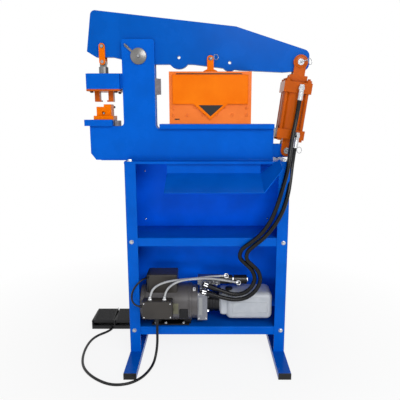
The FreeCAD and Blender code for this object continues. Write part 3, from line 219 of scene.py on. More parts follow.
finishes = {
    sheetEnamel: ["stand_side_left", "stand_side_right", "foot_left", "foot_right", "lower_tray", "mid_shelf",
                  "base_plate", "chute"],
    litBackPanelEnamel: ["back_panel"],
    plateEnamel: ["frame_plate_front", "frame_plate_rear", "frame_spacers", "cylinder_lug", "die_table",
                  "shear_table", "guide_block"],
    shadedArmEnamel: ["arm"],
    orangeEnamel: ["die_holder", "punch_links", "blade_carrier"],
    # the stripper takes the cylinder's browner orange as painted shade
    cylinderOrangeAndStripperShade: ["stripper", "cylinder_base", "cylinder_tube", "cylinder_head", "tie_rods", "rod_clevis"],
    sheenedHousingEnamel: ["shear_housing"],
    guardEnamel: ["shear_guard"],
    zincSteel: ["frame_pins", "arm_pins", "ram_pin", "piston_rod"],
    brightNickel: ["port_fittings"],
    groundSteel: ["ram", "pin_washers"],
    castIron: ["gauge_block", "table_stop"],
    castAluminium: ["pump_block", "valve_manifold"],
    motorPaint: ["motor"],
    boxPaint: ["control_box", "capacitor_cover"],
    blackPlastic: ["foot_caps", "pedal_base", "treadle_left", "treadle_right"],
    coilResin: ["solenoid_coils"],
    darkSteel: ["pump_body", "hose_ports", "motor_base"],
    shadedTankPlastic: ["tank"],
}


for material, names in finishes.items():
    for name in names:
        mesh = nodes[name].data
        mesh.materials.clear()
        mesh.materials.append(material)
print("frame dressed")


# Meshes from numpy grids. Places and sizes of the pieces below are in millimetres.

def placed(name, data):
    # a new object in the scene
    item = bpy.data.objects.new(name, data)
    bpy.context.collection.objects.link(item)
    return item


def meshObject(name, parts, material, body, smoothAngle=40):
    # joins (points, faces) pairs into one object in metres, faces outwards, riding on a body
    verts, faces, count = [], [], 0
    for points, polygons in parts:
        verts.append(np.asarray(points, float) * mm)
        faces.extend([[corner + count for corner in face] for face in polygons])
        count += len(points)
    mesh = bpy.data.meshes.new(name)
    mesh.from_pydata(np.concatenate(verts).tolist(), [], faces)
    shell = bmesh.new()
    shell.from_mesh(mesh)
    bmesh.ops.recalc_face_normals(shell, faces=shell.faces)
    shell.to_mesh(mesh)
    shell.free()
    mesh.polygons.foreach_set("use_smooth", [True] * len(mesh.polygons))
    mesh.set_sharp_from_angle(angle=math.radians(smoothAngle))
    mesh.materials.append(material)
    piece = placed(name, mesh)
    if body:
        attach(piece, body)
    return piece


def loft(rings, closed=False):
    # rings[row, column] of points; each ring closes on itself and the end rings are capped
    rows, columns = rings.shape[:2]
    row, column = np.meshgrid(np.arange(rows if closed else rows - 1), np.arange(columns), indexing="ij")
    after, above = (column + 1) % columns, (row + 1) % rows
    quads = np.stack([row * columns + column, row * columns + after,
                      above * columns + after, above * columns + column], axis=-1).reshape(-1, 4).tolist()
    if not closed:
        quads.append(list(range(columns))[::-1])
        quads.append(list(range((rows - 1) * columns, rows * columns)))
    return rings.reshape(-1, 3), quads


def wholeTurn(steps):
    # evenly spaced angles once round a circle
    return np.linspace(0, 2 * np.pi, steps, endpoint=False)


def circleAbout(axis, segments):
    # unit vectors evenly spaced round an axis, and the axis as a unit vector
    axis = np.asarray(axis, float) / np.linalg.norm(axis)
    other = np.array([0.0, 0.0, 1.0]) if abs(axis[2]) < 0.9 else np.array([1.0, 0.0, 0.0])
    first = np.cross(other, axis)
    first /= np.linalg.norm(first)
    angle = wholeTurn(segments)[:, None]
    return np.cos(angle) * first + np.sin(angle) * np.cross(axis, first), axis


def turned(at, axis, profile, segments=32, flats=0):
    # (radius, height) pairs turned about an axis; flats makes each ring a polygon of that many sides
    ring, axis = circleAbout(axis, segments)
    profile = np.asarray(profile, float)
    if flats:
        step = 2 * np.pi / flats
        ring = ring * (np.cos(step / 2) / np.cos(wholeTurn(segments) % step - step / 2))[:, None]
    rings = np.asarray(at, float) + profile[:, 0, None, None] * ring + profile[:, 1, None, None] * axis
    return loft(rings)


def tube(path, radius, segments=16, side=(0, 1, 0), closed=False):
    # a ring carried along a path; radius is one value, or one for each point of the path
    path = np.asarray(path, float)
    ahead = np.roll(path, -1, axis=0) - np.roll(path, 1, axis=0) if closed else np.gradient(path, axis=0)
    ahead = ahead / np.linalg.norm(ahead, axis=1)[:, None]
    first = np.cross(np.asarray(side, float), ahead)
    first /= np.linalg.norm(first, axis=1)[:, None]
    second = np.cross(ahead, first)
    angle = wholeTurn(segments)[None, :, None]
    radius = np.broadcast_to(np.asarray(radius, float), len(path))[:, None, None]
    rings = path[:, None] + radius * (np.cos(angle) * first[:, None] + np.sin(angle) * second[:, None])
    return loft(rings, closed)


def collar(at, axis, outline, segments=48):
    # a closed outline of (radius, height) corners turned about an axis, open down its middle
    ring, axis = circleAbout(axis, segments)
    outline = np.asarray(outline, float)
    rings = np.asarray(at, float) + ring[:, None] * outline[:, 0, None] + axis * outline[:, 1, None]
    return loft(rings, closed=True)


def hoop(centre, axis, radius, wire, segments=40):
    # a wire ring: a circle about an axis with a round section
    ring, axis = circleAbout(axis, segments)
    return tube(np.asarray(centre, float) + radius * ring, wire, 10, axis, closed=True)


boxFacts = {"fullest": 0.98}  # a corner's radius never passes this share of a half side


def roundedBox(low, high, radius, steps=5):
    # rounded rectangles stacked along X, each drawn in by a quarter circle near the two ends
    low, high = np.asarray(low, float), np.asarray(high, float)
    middle, half = (low + high) / 2, (high - low) / 2
    radius = min(radius, *(half * boxFacts["fullest"]))
    bend = np.linspace(0, np.pi / 2, steps + 1)
    inset = radius * (1 - np.cos(bend))
    place = np.concatenate([low[0] + inset, high[0] - inset[::-1]])
    draw = np.concatenate([radius * np.sin(bend), radius * np.sin(bend[::-1])])
    corner = np.arange(4)[:, None] * np.pi / 2 + np.linspace(0, np.pi / 2, steps + 1)[None, :]
    turn = corner.ravel()
    quarter = np.repeat(np.arange(4), steps + 1)
    sideY = np.where((quarter == 0) | (quarter == 3), 1, -1) * (half[1] - radius)
    sideZ = np.where(quarter < 2, 1, -1) * (half[2] - radius)
    y = middle[1] + sideY + draw[:, None] * np.cos(turn)
    z = middle[2] + sideZ + draw[:, None] * np.sin(turn)
    x = np.broadcast_to(place[:, None], y.shape)
    return loft(np.stack([x, y, z], axis=-1))


def prism(outline, front, back):
    # an outline of (x, z) corners carried from one depth to another
    outline = np.asarray(outline, float)
    rings = np.stack([np.stack([outline[:, 0], np.full(len(outline), depth), outline[:, 1]], axis=-1)
                      for depth in (front, back)])
    return loft(rings)


headFacts = {
    "washerSheet": 1.6,
    "washerShoulder": 0.7,  # times the sheet
    "washerBevel": 0.4,
    "chamferFrom": 0.8,  # times the head's height
    "chamferTo": 0.85,  # times its corner radius
    "domeTurn": (1.05, 1.5),  # radians that the dome's radius and height go through
    "domeSteps": 5,
    "socket": (0.42, 0.96, 0.45),  # rim and floor radius, and the floor's height
}


def hexHead(at, axis, acrossFlats, height, washer=0.0):
    # a hexagon head with a chamfered top, on a round washer where its radius is given
    facts = headFacts
    at = np.asarray(at, float)
    axis = np.asarray(axis, float) / np.linalg.norm(axis)
    parts = []
    if washer:
        sheet = facts["washerSheet"]
        parts.append(turned(at, axis, [(washer, 0), (washer, sheet * facts["washerShoulder"]),
                                       (washer - facts["washerBevel"], sheet)]))
        at = at + axis * sheet
    corner = acrossFlats / 2 / math.cos(math.pi / 6)
    parts.append(turned(at, axis, [(corner, 0), (corner, height * facts["chamferFrom"]),
                                   (corner * facts["chamferTo"], height)], 36, 6))
    return parts


def roundHead(at, axis, radius, height):
    # a domed head with a driver socket sunk in its top
    wide, high = headFacts["domeTurn"]
    rim, floor, depth = headFacts["socket"]
    dome = [(radius * math.cos(t * wide), height * math.sin(t * high))
            for t in np.linspace(0, 1, headFacts["domeSteps"])[1:]]
    rim = radius * rim
    return [turned(at, axis, [(radius, 0), *dome, (rim, height), (rim * floor, height * depth)])]


def spread(head, places, face, way, size):
    # the same head at each place on a flat face; a place holds the two coordinates that lie in the face
    across = int(np.argmax(np.abs(way)))
    return [part for place in places
            for part in head(np.insert(np.asarray(place, float), across, face), way, *size)]


beadFacts = {
    "step": 1.5,
    "fewest": 8,
    "ripple": (0.14, 7),  # share of the radius, and pitch in millimetres
    "waver": (0.06, 31),
    "side": (0.3, 0.9, 0.2),
}


def weldBead(start, end, radius):
    # a bead of overlapping ripples along a line: its radius follows the size of a sine, and wavers slowly
    facts = beadFacts
    start, end = np.asarray(start, float), np.asarray(end, float)
    length = np.linalg.norm(end - start)
    along = np.linspace(0, 1, max(facts["fewest"], int(length / facts["step"])))
    path = start + along[:, None] * (end - start)
    (deep, pitch), (drift, slow) = facts["ripple"], facts["waver"]
    ripple = 1 + deep * np.abs(np.sin(along * length / pitch * np.pi)) + drift * np.sin(along * length / slow)
    return tube(path, radius * ripple, 12, facts["side"])


sleeveFacts = {
    "reliefSteps": 25,
    "groove": 0.5,
    "groovePitch": 4,
    "ridge": 0.45,
    "ridgeSteps": 8,
}


def strainRelief(at, axis, wide, narrow, length):
    # a tapered sleeve with ring grooves, widest where it leaves the housing
    count, pitch = sleeveFacts["reliefSteps"], sleeveFacts["groovePitch"]
    steps = np.linspace(0, 1, count)
    radius = wide + (narrow - wide) * steps - sleeveFacts["groove"] * (np.arange(count) % pitch == 2)
    return turned(at, axis, np.stack([radius, steps * length], axis=-1))


def crimped(at, axis, radius, length, rings):
    # a swaged sleeve: a tube with evenly spaced ridges
    steps = np.linspace(0, 1, rings * sleeveFacts["ridgeSteps"] + 1)
    ridge = radius + sleeveFacts["ridge"] * np.cos(steps * rings * 2 * np.pi)
    return turned(at, axis, np.stack([ridge, steps * length], axis=-1))


# Hoses and leads

routeFacts = {"fineness": 14, "fewest": 8}


def alongRoute(name, points, step):
    # points read from a NURBS line that has the route's corners as its control points, evenly spaced
    curve = bpy.data.curves.new(name + "Route", "CURVE")
    curve.dimensions = "3D"
    curve.resolution_u = routeFacts["fineness"]
    spline = curve.splines.new("NURBS")
    spline.points.add(len(points) - 1)
    weighted = np.ones((len(points), 4))
    weighted[:, :3] = np.asarray(points, float) * mm
    spline.points.foreach_set("co", weighted.ravel())
    spline.order_u = 3
    spline.use_endpoint_u = True
    holder = placed(name + "Route", curve)
    line = bpy.data.meshes.new_from_object(holder)
    flat = np.empty(len(line.vertices) * 3)
    line.vertices.foreach_get("co", flat)
    corners = flat.reshape(-1, 3) / mm
    bpy.data.objects.remove(holder)
    walked = np.concatenate([[0], np.cumsum(np.linalg.norm(np.diff(corners, axis=0), axis=1))])
    even = np.linspace(0, walked[-1], max(routeFacts["fewest"], int(walked[-1] / step)))
    return np.stack([np.interp(even, walked, corners[:, i]) for i in range(3)], axis=1), walked[-1]


usualCord = {"diameter": 17, "material": hoseRubber, "slot": "hose_rubber", "side": (0, 1, 0),
             "stiffness": "medium", "ribPitch": 0}
conduitFacts = {"diameter": 9.6, "material": conduitVinyl, "ribPitch": 3.6, "slot": "conduit_plastic"}
cordFacts = {
    "hoseOne": {
        "nodes": ["hose_one_upper", "hose_one_lower"], "stiffness": "stiff", "blend": (0.86, 1.05),
        "route": [
            (440.3, -73, 1093.2), (431.3, -73, 1023.8), (414, -92, 955), (402, -116, 891), (394, -130, 826),
            (376, -134, 755), (357, -135, 684), (330, -135, 612), (290, -132, 554), (248, -127, 519),
            (212, -122, 490), (205, -118, 455), (229, -115, 429), (257, -113.5, 404), (273, -113, 372),
            (270, -113, 342), (254, -114, 315),
            (224.7, -116, 294.7), (185, -115, 290), (147, -112, 301), (109.3, -110, 314.8)],
    },
    "hoseTwo": {
        "nodes": ["hose_two"], "stiffness": "stiff",
        "route": [
            (428.2, -73, 905.6), (420, -75, 846), (411, -98, 785), (399, -122, 722), (380, -131, 655),
            (345, -131, 590), (304, -129, 540), (266, -126, 508), (237, -123, 481), (234, -120, 446),
            (262, -118, 421), (289, -116, 393), (299, -115, 350), (276.6, -116, 304.6), (236.7, -118, 274.5),
            (187.2, -119, 267.5), (142, -118, 276), (97.8, -116, 289.2)],
    },
    "conduitLeft": {
        "nodes": ["conduit_left"], **conduitFacts,
        "route": [
            (-165, -150, 281.4), (-162, -149, 311), (-145, -141, 335), (-112, -128, 348), (-67, -110, 352),
            (-18, -91, 349), (37, -75, 349), (93, -63, 352), (154, -51, 350)],
    },
    "conduitRight": {
        "nodes": ["conduit_right"], **conduitFacts,
        "route": [
            (-105, -150, 281.4), (-103, -149, 308), (-88, -142, 333), (-58, -130, 351), (-16, -116, 357),
            (34, -100, 355), (89, -84, 350), (150, -70, 336), (207, -61, 322)],
    },
    "motorLead": {
        "nodes": ["motor_lead"], "diameter": 7.6, "material": leadRubber, "side": (1, 1, 1),
        "route": [
            (-182, -76.4, 357), (-182, -95, 358), (-190, -113, 361), (-207, -127, 355), (-226, -137, 336),
            (-240, -144, 311), (-242, -150, 284), (-231, -154, 264), (-214, -154, 254.6),
            (-198.4, -154, 254)],
    },
    "pedalCord": {
        "nodes": ["pedal_cord"], "diameter": 11, "material": leadRubber, "side": (1, 1, 1),
        "route": [
            (-138, -147, 202.7), (-138, -147, 143), (-139, -142, 86), (-144, -152, 40), (-152, -184, 12),
            (-168, -232, 5.8), (-194, -284, 5.8), (-238, -318, 5.8), (-296, -324, 5.8), (-348, -300, 5.8),
            (-400, -258, 5.8), (-440, -206, 5.8), (-462, -148, 5.8), (-473, -80, 5.8), (-474, -16, 5.8),
            (-466, 34, 5.8), (-446, 72, 5.8), (-418, 98, 5.8), (-400, 122, 5.8), (-394.6, 143, 5.8)],
    },
}
ribFacts = {
    "depth": 0.9,
    "points": 6,  # path points in one rib
    "plainStep": 4,  # path step of a cord without ribs
    "sides": 18,
}

for name, special in cordFacts.items():
    facts = usualCord | special
    rib = facts["ribPitch"]
    step = rib / ribFacts["points"] if rib else ribFacts["plainStep"]
    path, length = alongRoute(name, facts["route"], step)
    radius = facts["diameter"] / 2
    if rib:
        walked = np.linspace(0, length, len(path))
        radius = radius - ribFacts["depth"] * (0.5 + 0.5 * np.cos(2 * np.pi * walked / rib)) ** 2
    piece = meshObject(name, [tube(path, radius, ribFacts["sides"], facts["side"])], facts["material"],
                       None if "blend" in facts else "frame", 50)
    if "blend" in facts:
        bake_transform(piece)
    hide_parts(*facts["nodes"])
print("cords made")


# Fasteners of the stand and of the heavy frame

front, rear, up, down, right = (0, -1, 0), (0, 1, 0), (0, 0, 1), (0, 0, -1), (1, 0, 0)
bothFaces = ((front, -1), (rear, 1))

standFacts = {
    "postFace": 110,
    "postBolts": [(-241, 519), (389, 515), (-241, 124), (389, 124)],
    "postHead": (12, 5.5, 9),  # across flats, height, washer radius
    "topFace": 852.5,
    "topBolts": [(-240, -93), (386, -93), (-240, 93), (386, 93)],
    "topHead": (15, 7, 14),
    "panelFaces": (104, 107),
    "panelScrews": [(-209, 568), (350, 570), (-209, 790), (350, 790)],
    "panelHead": (4.2, 2.4),  # radius, height
    "plugFace": -110,
    "plugs": [(-239, 797), (385, 797)],
    "plugHead": (3.4, 1.2),
}


def standFasteners():
    # hexagon heads on both faces of the posts and on the top, round heads through the back sheet
    facts = standFacts
    parts = spread(hexHead, facts["topBolts"], facts["topFace"], up, facts["topHead"])
    for (way, side), panelFace in zip(bothFaces, facts["panelFaces"]):
        parts += spread(hexHead, facts["postBolts"], side * facts["postFace"], way, facts["postHead"])
        parts += spread(roundHead, facts["panelScrews"], panelFace, way, facts["panelHead"])
    plugs = spread(roundHead, facts["plugs"], facts["plugFace"], front, facts["plugHead"])
    meshObject("standBolts", parts, brightNickel, "frame")
    meshObject("postPlugs", plugs, sheetEnamel, "frame")


frameFacts = {
    "beadFace": 33.1,
    "beads": [((-369, 853.5), (345, 853.5), 2.6), ((-118, 980), (346, 980), 2.2),
              ((-269, 1141), (-269, 1198), 2.4), ((-410, 991), (-318, 991), 2.0)],  # ends and radius
    "sharp": 60,
}


def frameWelds():
    # the same beads on the outer face of each plate
    facts = frameFacts
    parts = []
    for y in (-facts["beadFace"], facts["beadFace"]):
        for (x0, z0), (x1, z1), radius in facts["beads"]:
            parts.append(weldBead((x0, y, z0), (x1, y, z1), radius))
    meshObject("frameWelds", parts, plateEnamel, "frame", facts["sharp"])


pivotFacts = {
    "place": (-202, 1267),
    "face": 38.5,
    "plate": [(31.5, 0), (31.5, 0.84), (30.7, 1.4)],
    "bolt": (12, 6),
    "keeper": [(-257, -40, 1313), (-241, -40, 1300)],
    "keeperRadius": 3.2,
}


def pivotCaps():
    # a thin round plate with a hexagon bolt over each end of the main pin, and the keeper's rod in front
    facts = pivotFacts
    x, z = facts["place"]
    thick = facts["plate"][-1][1]
    plates, bolts = [], []
    for way, side in bothFaces:
        at = np.array([x, side * facts["face"], z])
        plates.append(turned(at, way, facts["plate"], 56))
        bolts += hexHead(at + np.array(way) * thick, way, *facts["bolt"])
    plates.append(tube(facts["keeper"], facts["keeperRadius"], 12))
    meshObject("pivotPlates", plates, groundSteel, "frame")
    meshObject("pivotBolts", bolts, zincSteel, "frame")


# Punch end: stripper screws, and the set screw and slug of the die holder

punchFacts = {
    "plateUnder": 1130,
    "screws": [(-394, -42), (-296, -42), (-394, 42), (-296, 42)],
    "screwHead": (7, 6),
    "setScrew": (-311, -16, 1068),
    "setScrewHead": (5, 5),
    "slug": (-347, -37, 1043.4),
    "slugWay": (-0.35, -1, -0.1),
    "slugHead": (7, 6),
}


def punchEnd():
    # round heads hang under the stripper; one stands out of the die holder's side
    facts = punchFacts
    parts = spread(roundHead, facts["screws"], facts["plateUnder"], down, facts["screwHead"])
    parts += roundHead(facts["setScrew"], right, *facts["setScrewHead"])
    meshObject("punchScrews", parts, darkSteel, "frame")
    slug = hexHead(facts["slug"], facts["slugWay"], *facts["slugHead"])
    meshObject("dieScrew", slug, zincSteel, "frame")


# Shear station: the heads on the housing, dark strips painted as the shade in the slits, and the guard's hem
# and dark window

shearFacts = {
    "face": 46,
    "heads": [(-65, 1063), (21, 1068), (143, 1068), (232, 1064), (-65, 1034), (-9, 1035), (56, 1037),
              (111, 1037), (174, 1037), (232, 1036)],
    "head": (6.6, 3.4),
    "guardFace": 54,
    "window": [(38, 1075), (137, 1075), (86, 1031)],
    "windowDepth": (0.8, 0.4),  # how far it stands out of the guard and into it
    # thin strips of painted shade where the guard's slits show dark
    "slitShades": [((-52, -47.2, 1196.4), (212, -45.6, 1200.2)), ((-60, -47, 1016.5), (-40, -45.6, 1021.5))],
    "slotRound": 0.7,
    "rim": [((18, 1079), (86, 1018.8)), ((86, 1018.8), (154, 1079))],
    "rimWire": (1.3, 0.5),  # radius, and how far its line stands out of the guard
    "hem": [((-66, 1080), (-66, 1193)), ((-66, 1193), (236, 1193)), ((236, 1193), (236, 1080)),
            ((-66, 1080), (18, 1080)), ((154, 1080), (236, 1080))],
    "hemWire": (1.2, 0.2),
}


def shearTrim():
    # heads on both faces of the housing, and wires along the folded edges of the guard
    facts = shearFacts
    heads, wires = [], []
    for way, side in bothFaces:
        heads += spread(roundHead, facts["heads"], side * facts["face"], way, facts["head"])
    meshObject("housingHeads", heads, sheenedHousingEnamel, "frame")
    face = facts["guardFace"]
    outwards, inwards = facts["windowDepth"]
    dark = [prism(facts["window"], -face - outwards, -face + inwards)]
    # the slits are drawn as thin black strips: painted shade where the gaps show dark
    dark += [roundedBox(*slot, facts["slotRound"]) for slot in facts["slitShades"]]
    meshObject("guardLabelAndSlitShade", dark, blackPlastic, "frame")
    for kind in ("rim", "hem"):
        radius, proud = facts[kind + "Wire"]
        for line in facts[kind]:
            wires.append(tube([(x, -face - proud, z) for x, z in line], radius, 10))
    meshObject("guardHem", wires, guardEnamel, "frame")


# Pins with hitch rings

ringFacts = [
    {"name": "clevisRing", "body": "arm", "from": (452, -30, 1247), "to": (476, -33, 1253),
     "centre": (484, -34, 1247), "normal": (0.66, -0.72, 0.2), "radius": 13},
    {"name": "shearRing", "body": "arm", "from": (88, -26, 1259), "to": (98, -30, 1262),
     "centre": (108, -31, 1264), "normal": (0.5, -0.85, 0.1), "radius": 10.5},
    {"name": "baseRing", "body": "frame", "from": (404, -32, 890), "to": (434, -60, 893),
     "centre": (449, -62, 895), "normal": (0.5, -0.85, 0.1), "radius": 12.5},
]
ringSizes = {"wire": 1.1, "stem": 1.4, "stemSide": (0.1, 0.2, 1), "head": (5, 3)}


def hitchRings():
    # a wire ring on a short stem, and the head of the pin that the stem goes through
    for facts in ringFacts:
        parts = [hoop(facts["centre"], facts["normal"], facts["radius"], ringSizes["wire"]),
                 tube([facts["from"], facts["to"]], ringSizes["stem"], 10, ringSizes["stemSide"])]
        parts += roundHead(facts["from"], front, *ringSizes["head"])
        meshObject(facts["name"], parts, zincSteel, facts["body"])


# Cylinder: beads, gland, lower nuts, clamp screw and swaged ferrules, along its leaning axis

cylinderFacts = {
    "foot": (404, 0, 890),
    "top": (450, 0, 1246),
    "beads": (88, 235),  # heights along the axis, as the others below
    "bead": (50.4, 2.6),
    "rodOut": 42,  # of the tie rods, across and in depth
    "nutAt": 50,
    "nut": (18, 9),
    "stubAt": 289,
    "stub": [(6.4, 0), (6.4, 4), (5.2, 5.4)],
    "glandAt": 278,
    "gland": [(23.05, 0), (30, 0), (30, 3), (28, 4.5), (23.05, 4.5)],
    "wiperAt": 282.5,
    "wiper": [(19.75, 0), (24.05, 0), (23.05, 1.6), (19.75, 2)],
    "hoseEnds": [(440.3, -73, 1093.2), (428.2, -73, 905.6)],
    "ferruleFrom": 0.5,
    "ferrule": (11.4, 34, 7),  # radius, length, ridges
    "portFrom": 42,
    "port": (23, 12),
    "eye": (450, 25.4, 1246),
    "boss": [(24, 0), (24, 1.2), (22.5, 2), (14, 2)],
    "clamp": (465, -15, 1171),
    "clampWay": (0.85, -0.5, 0),
    "clampHead": (13, 7),
}
axisFoot, axisTop = (np.array(cylinderFacts[end], float) for end in ("foot", "top"))
leanAxis = (axisTop - axisFoot) / np.linalg.norm(axisTop - axisFoot)
leanSide = np.array([leanAxis[2], 0, -leanAxis[0]])


def onCylinder(side, y, along):
    # a point by its way across, its depth and its height along the leaning axis
    return axisFoot + side * leanSide + np.array([0, y, 0]) + along * leanAxis


def cylinderTrim():
    # beads, nuts and gland turned about the leaning axis; ferrules and port nuts at the hoses' ends
    facts = cylinderFacts
    orange = [hoop(onCylinder(0, 0, along), leanAxis, *facts["bead"], 64) for along in facts["beads"]]
    reach = facts["rodOut"]
    for side in (-reach, reach):
        for y in (-reach, reach):
            orange += hexHead(onCylinder(side, y, facts["nutAt"]), -leanAxis, *facts["nut"])
            orange.append(turned(onCylinder(side, y, facts["stubAt"]), leanAxis, facts["stub"]))
    orange.append(collar(onCylinder(0, 0, facts["glandAt"]), leanAxis, facts["gland"]))
    wiper = [collar(onCylinder(0, 0, facts["wiperAt"]), leanAxis, facts["wiper"])]
    meshObject("cylinderBeads", orange, cylinderOrangeAndStripperShade, "barrel")
    meshObject("rodWiper", wiper, hoseRubber, "barrel")
    bright = []
    for start in facts["hoseEnds"]:
        start = np.array(start, float)
        bright.append(crimped(start + leanAxis * facts["ferruleFrom"], leanAxis, *facts["ferrule"]))
        bright += hexHead(start + leanAxis * facts["portFrom"], leanAxis, *facts["port"])
    meshObject("ferrules", bright, brightNickel, "barrel")
    x, y, z = facts["eye"]
    boss = [turned((x, -y, z), front, facts["boss"], 48), turned((x, y, z), rear, facts["boss"], 48)]
    boss += hexHead(facts["clamp"], facts["clampWay"], *facts["clampHead"])
    meshObject("clevisBosses", boss, cylinderOrangeAndStripperShade, "rod")


# Power unit

unitFacts = {
    "axis": (-35, 228),
    "radius": 81,
    "bands": [-196, -8, -2],
    "bandWire": 1.6,
    "bandProud": 0.2,
    "vents": 12,
    "ventRing": 52,
    "ventX": (-213.9, -210),
    "ventHalf": 3,
    "ventRound": 1.4,
    "mounts": [((-46, -121, 184), (-10, -104, 225), 3), ((-168, -94, 140), (-5, -73, 146), 1.5)],
    "sunk": 1.0,  # how far a bent sheet reaches into the shell
    "bentSteps": 12,
    "plate": (-80, -50, -20, 15, 0.8),
    "tag": (11, 23, 54, 65, 3.0),
    "tagHole": (15, 19, 58, 61, 3.4),
    "railBolts": [(-107, -85), (-31, -85), (-150, -85)],
    "railTop": 146,
    "railHead": (10, 5, 8),
}


def curvedPlate(x0, x1, angle0, angle1, thick):
    # a sheet bent round the motor's shell, between two angles in degrees above its front line
    facts = unitFacts
    y0, z0 = facts["axis"]
    angle = np.radians(np.linspace(angle0, angle1, facts["bentSteps"]))[:, None]
    radius = facts["radius"] + np.array([-facts["sunk"], -facts["sunk"], thick, thick])
    y, z = y0 - radius * np.cos(angle), z0 + radius * np.sin(angle)
    return loft(np.stack([np.broadcast_to((x0, x1, x1, x0), y.shape), y, z], axis=-1))


def motorTrim():
    # bands round the shell, a ring of vents on its end, mounts, and small plates bent to the shell
    facts = unitFacts
    y, z = facts["axis"]
    band = facts["radius"] + facts["bandProud"]
    parts = [hoop((x, y, z), right, band, facts["bandWire"], 72) for x in facts["bands"]]
    (x0, x1), half = facts["ventX"], facts["ventHalf"]
    for angle in np.arange(facts["vents"]) * 2 * np.pi / facts["vents"]:
        ventY = y + facts["ventRing"] * math.cos(angle)
        ventZ = z + facts["ventRing"] * math.sin(angle)
        parts.append(roundedBox((x0, ventY - half, ventZ - half), (x1, ventY + half, ventZ + half),
                                facts["ventRound"]))
    meshObject("motorTrim", parts, motorPaint, "frame")
    mounts = [roundedBox(*mount) for mount in facts["mounts"]]
    meshObject("motorMounts", mounts, darkSteel, "frame")
    meshObject("motorPlate", [curvedPlate(*facts["plate"])], agedPlate, "frame")
    meshObject("motorTag", [curvedPlate(*facts["tag"])], whitePlastic, "frame")
    meshObject("motorTagHole", [curvedPlate(*facts["tagHole"])], darkSteel, "frame")
    bolts = spread(hexHead, facts["railBolts"], facts["railTop"], up, facts["railHead"])
    meshObject("railBolts", bolts, zincSteel, "frame")


coverFacts = {
    "front": -90,
    "skirt": 284,
    "round": 6,
    "endCap": 9,
    "endInset": 1,
    "boxBack": -119,
    "boxRound": 7,
    "lid": 1.6,  # how far the box's rim lies behind its lid
    "lidInset": 1.5,
    "lidDeep": 9,
    "lidRound": 3,
    "neck": ((-160, -125, 212), (-110, -108, 270)),
    "screwInset": 9,
    "screwSunk": 0.2,
    "screw": (3.2, 1.6),
}


def nodeBox(node):
    # a node's lowest and highest corners in millimetres
    return [np.array(corner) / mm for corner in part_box(node)]


def unitBoxes():
    # rounded boxes in the places of the CAD's plain ones: cover with end cap, box with lid and neck
    facts = coverFacts
    low, high = nodeBox("capacitor_cover")
    low = np.array([low[0], facts["front"], facts["skirt"]])
    inset = facts["endInset"]
    cover = roundedBox(low + (facts["endCap"], 0, 0), high, facts["round"], 6)
    end = roundedBox(low + (0, inset, inset),
                     (low[0] + facts["endCap"] * 2, high[1] - inset, high[2] - inset), facts["round"], 6)
    piece = meshObject("capacitorCover", [cover], boxPaint, "frame", 50)
    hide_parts("capacitor_cover")
    meshObject("capacitorEnd", [end], coilResin, "frame", 50)
    low, high = nodeBox("control_box")
    inset = facts["lidInset"]
    case = [roundedBox((low[0], low[1] + facts["lid"], low[2]), (high[0], facts["boxBack"], high[2]),
                       facts["boxRound"], 6),
            roundedBox((low[0] + inset, low[1], low[2] + inset),
                       (high[0] - inset, low[1] + facts["lidDeep"], high[2] - inset), facts["lidRound"], 4),
            roundedBox(*facts["neck"], facts["lidRound"], 4)]
    piece = meshObject("controlBox", case, boxPaint, "frame", 50)
    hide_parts("control_box")
    inset = facts["screwInset"]
    places = [(x, z) for x in (low[0] + inset, high[0] - inset) for z in (low[2] + inset, high[2] - inset)]
    screws = spread(roundHead, places, low[1] + facts["screwSunk"], front, facts["screw"])
    meshObject("lidScrews", screws, brightNickel, "frame")


fittingFacts = {
    "plugs": [(84, -60, 318), (99, -60, 322), (114, -60, 318)],
    "plug": (12, 9),
    "conduitFeet": [(-165, -150, 280.5), (-105, -150, 280.5)],
    "footNut": (15, 7),
    "footSleeve": [(6.4, 0), (6.4, 7), (5.6, 9)],
    "footSleeveUp": 6.5,
    "footWay": (0.14, 0.05, 1),
    "conduitEnds": [((154, -51, 350), (0.98, 0.19, -0.02)), ((207, -61, 322), (0.97, 0.15, -0.22))],
    "endSleeve": [(5.8, 0), (6.6, 2), (6.6, 9), (5.8, 11)],
    "endBack": 9,
    "ringShift": (1, -3, 1),
    "ringWay": (0.2, -1, 0.3),
    "ring": (9, 2.8),
    "coilNuts": [(183, -35, 328), (246, -35, 328)],
    "coilNut": [(12, 0), (12, 4), (10.5, 5.5)],
    "ports": [((62, -62, 332), (62, -110, 332), 20), ((54, -62, 301), (54, -116, 301), 15)],
    "portNuts": ((26, 13), (22, 12), (21, 19)),  # on the manifold, on the elbow, on the hose
    "elbowBack": 26,
    "hoseNutBack": 3,
    "crimpFrom": 14,
    "crimp": (11.3, 34, 7),
}
gripFacts = [
    ((-138, -147, 203.4), (0, 0, -1), 10, 6.6, 30),
    ((-198.2, -154, 254), (-1, 0, 0), 7.4, 4.6, 14),
    ((-182, -89.6, 357.6), (0, -1, 0.06), 7, 4.6, 10),
    ((-394.6, 145.2, 5.8), (-0.25, -0.97, 0), 5.75, 5.6, 4),
]


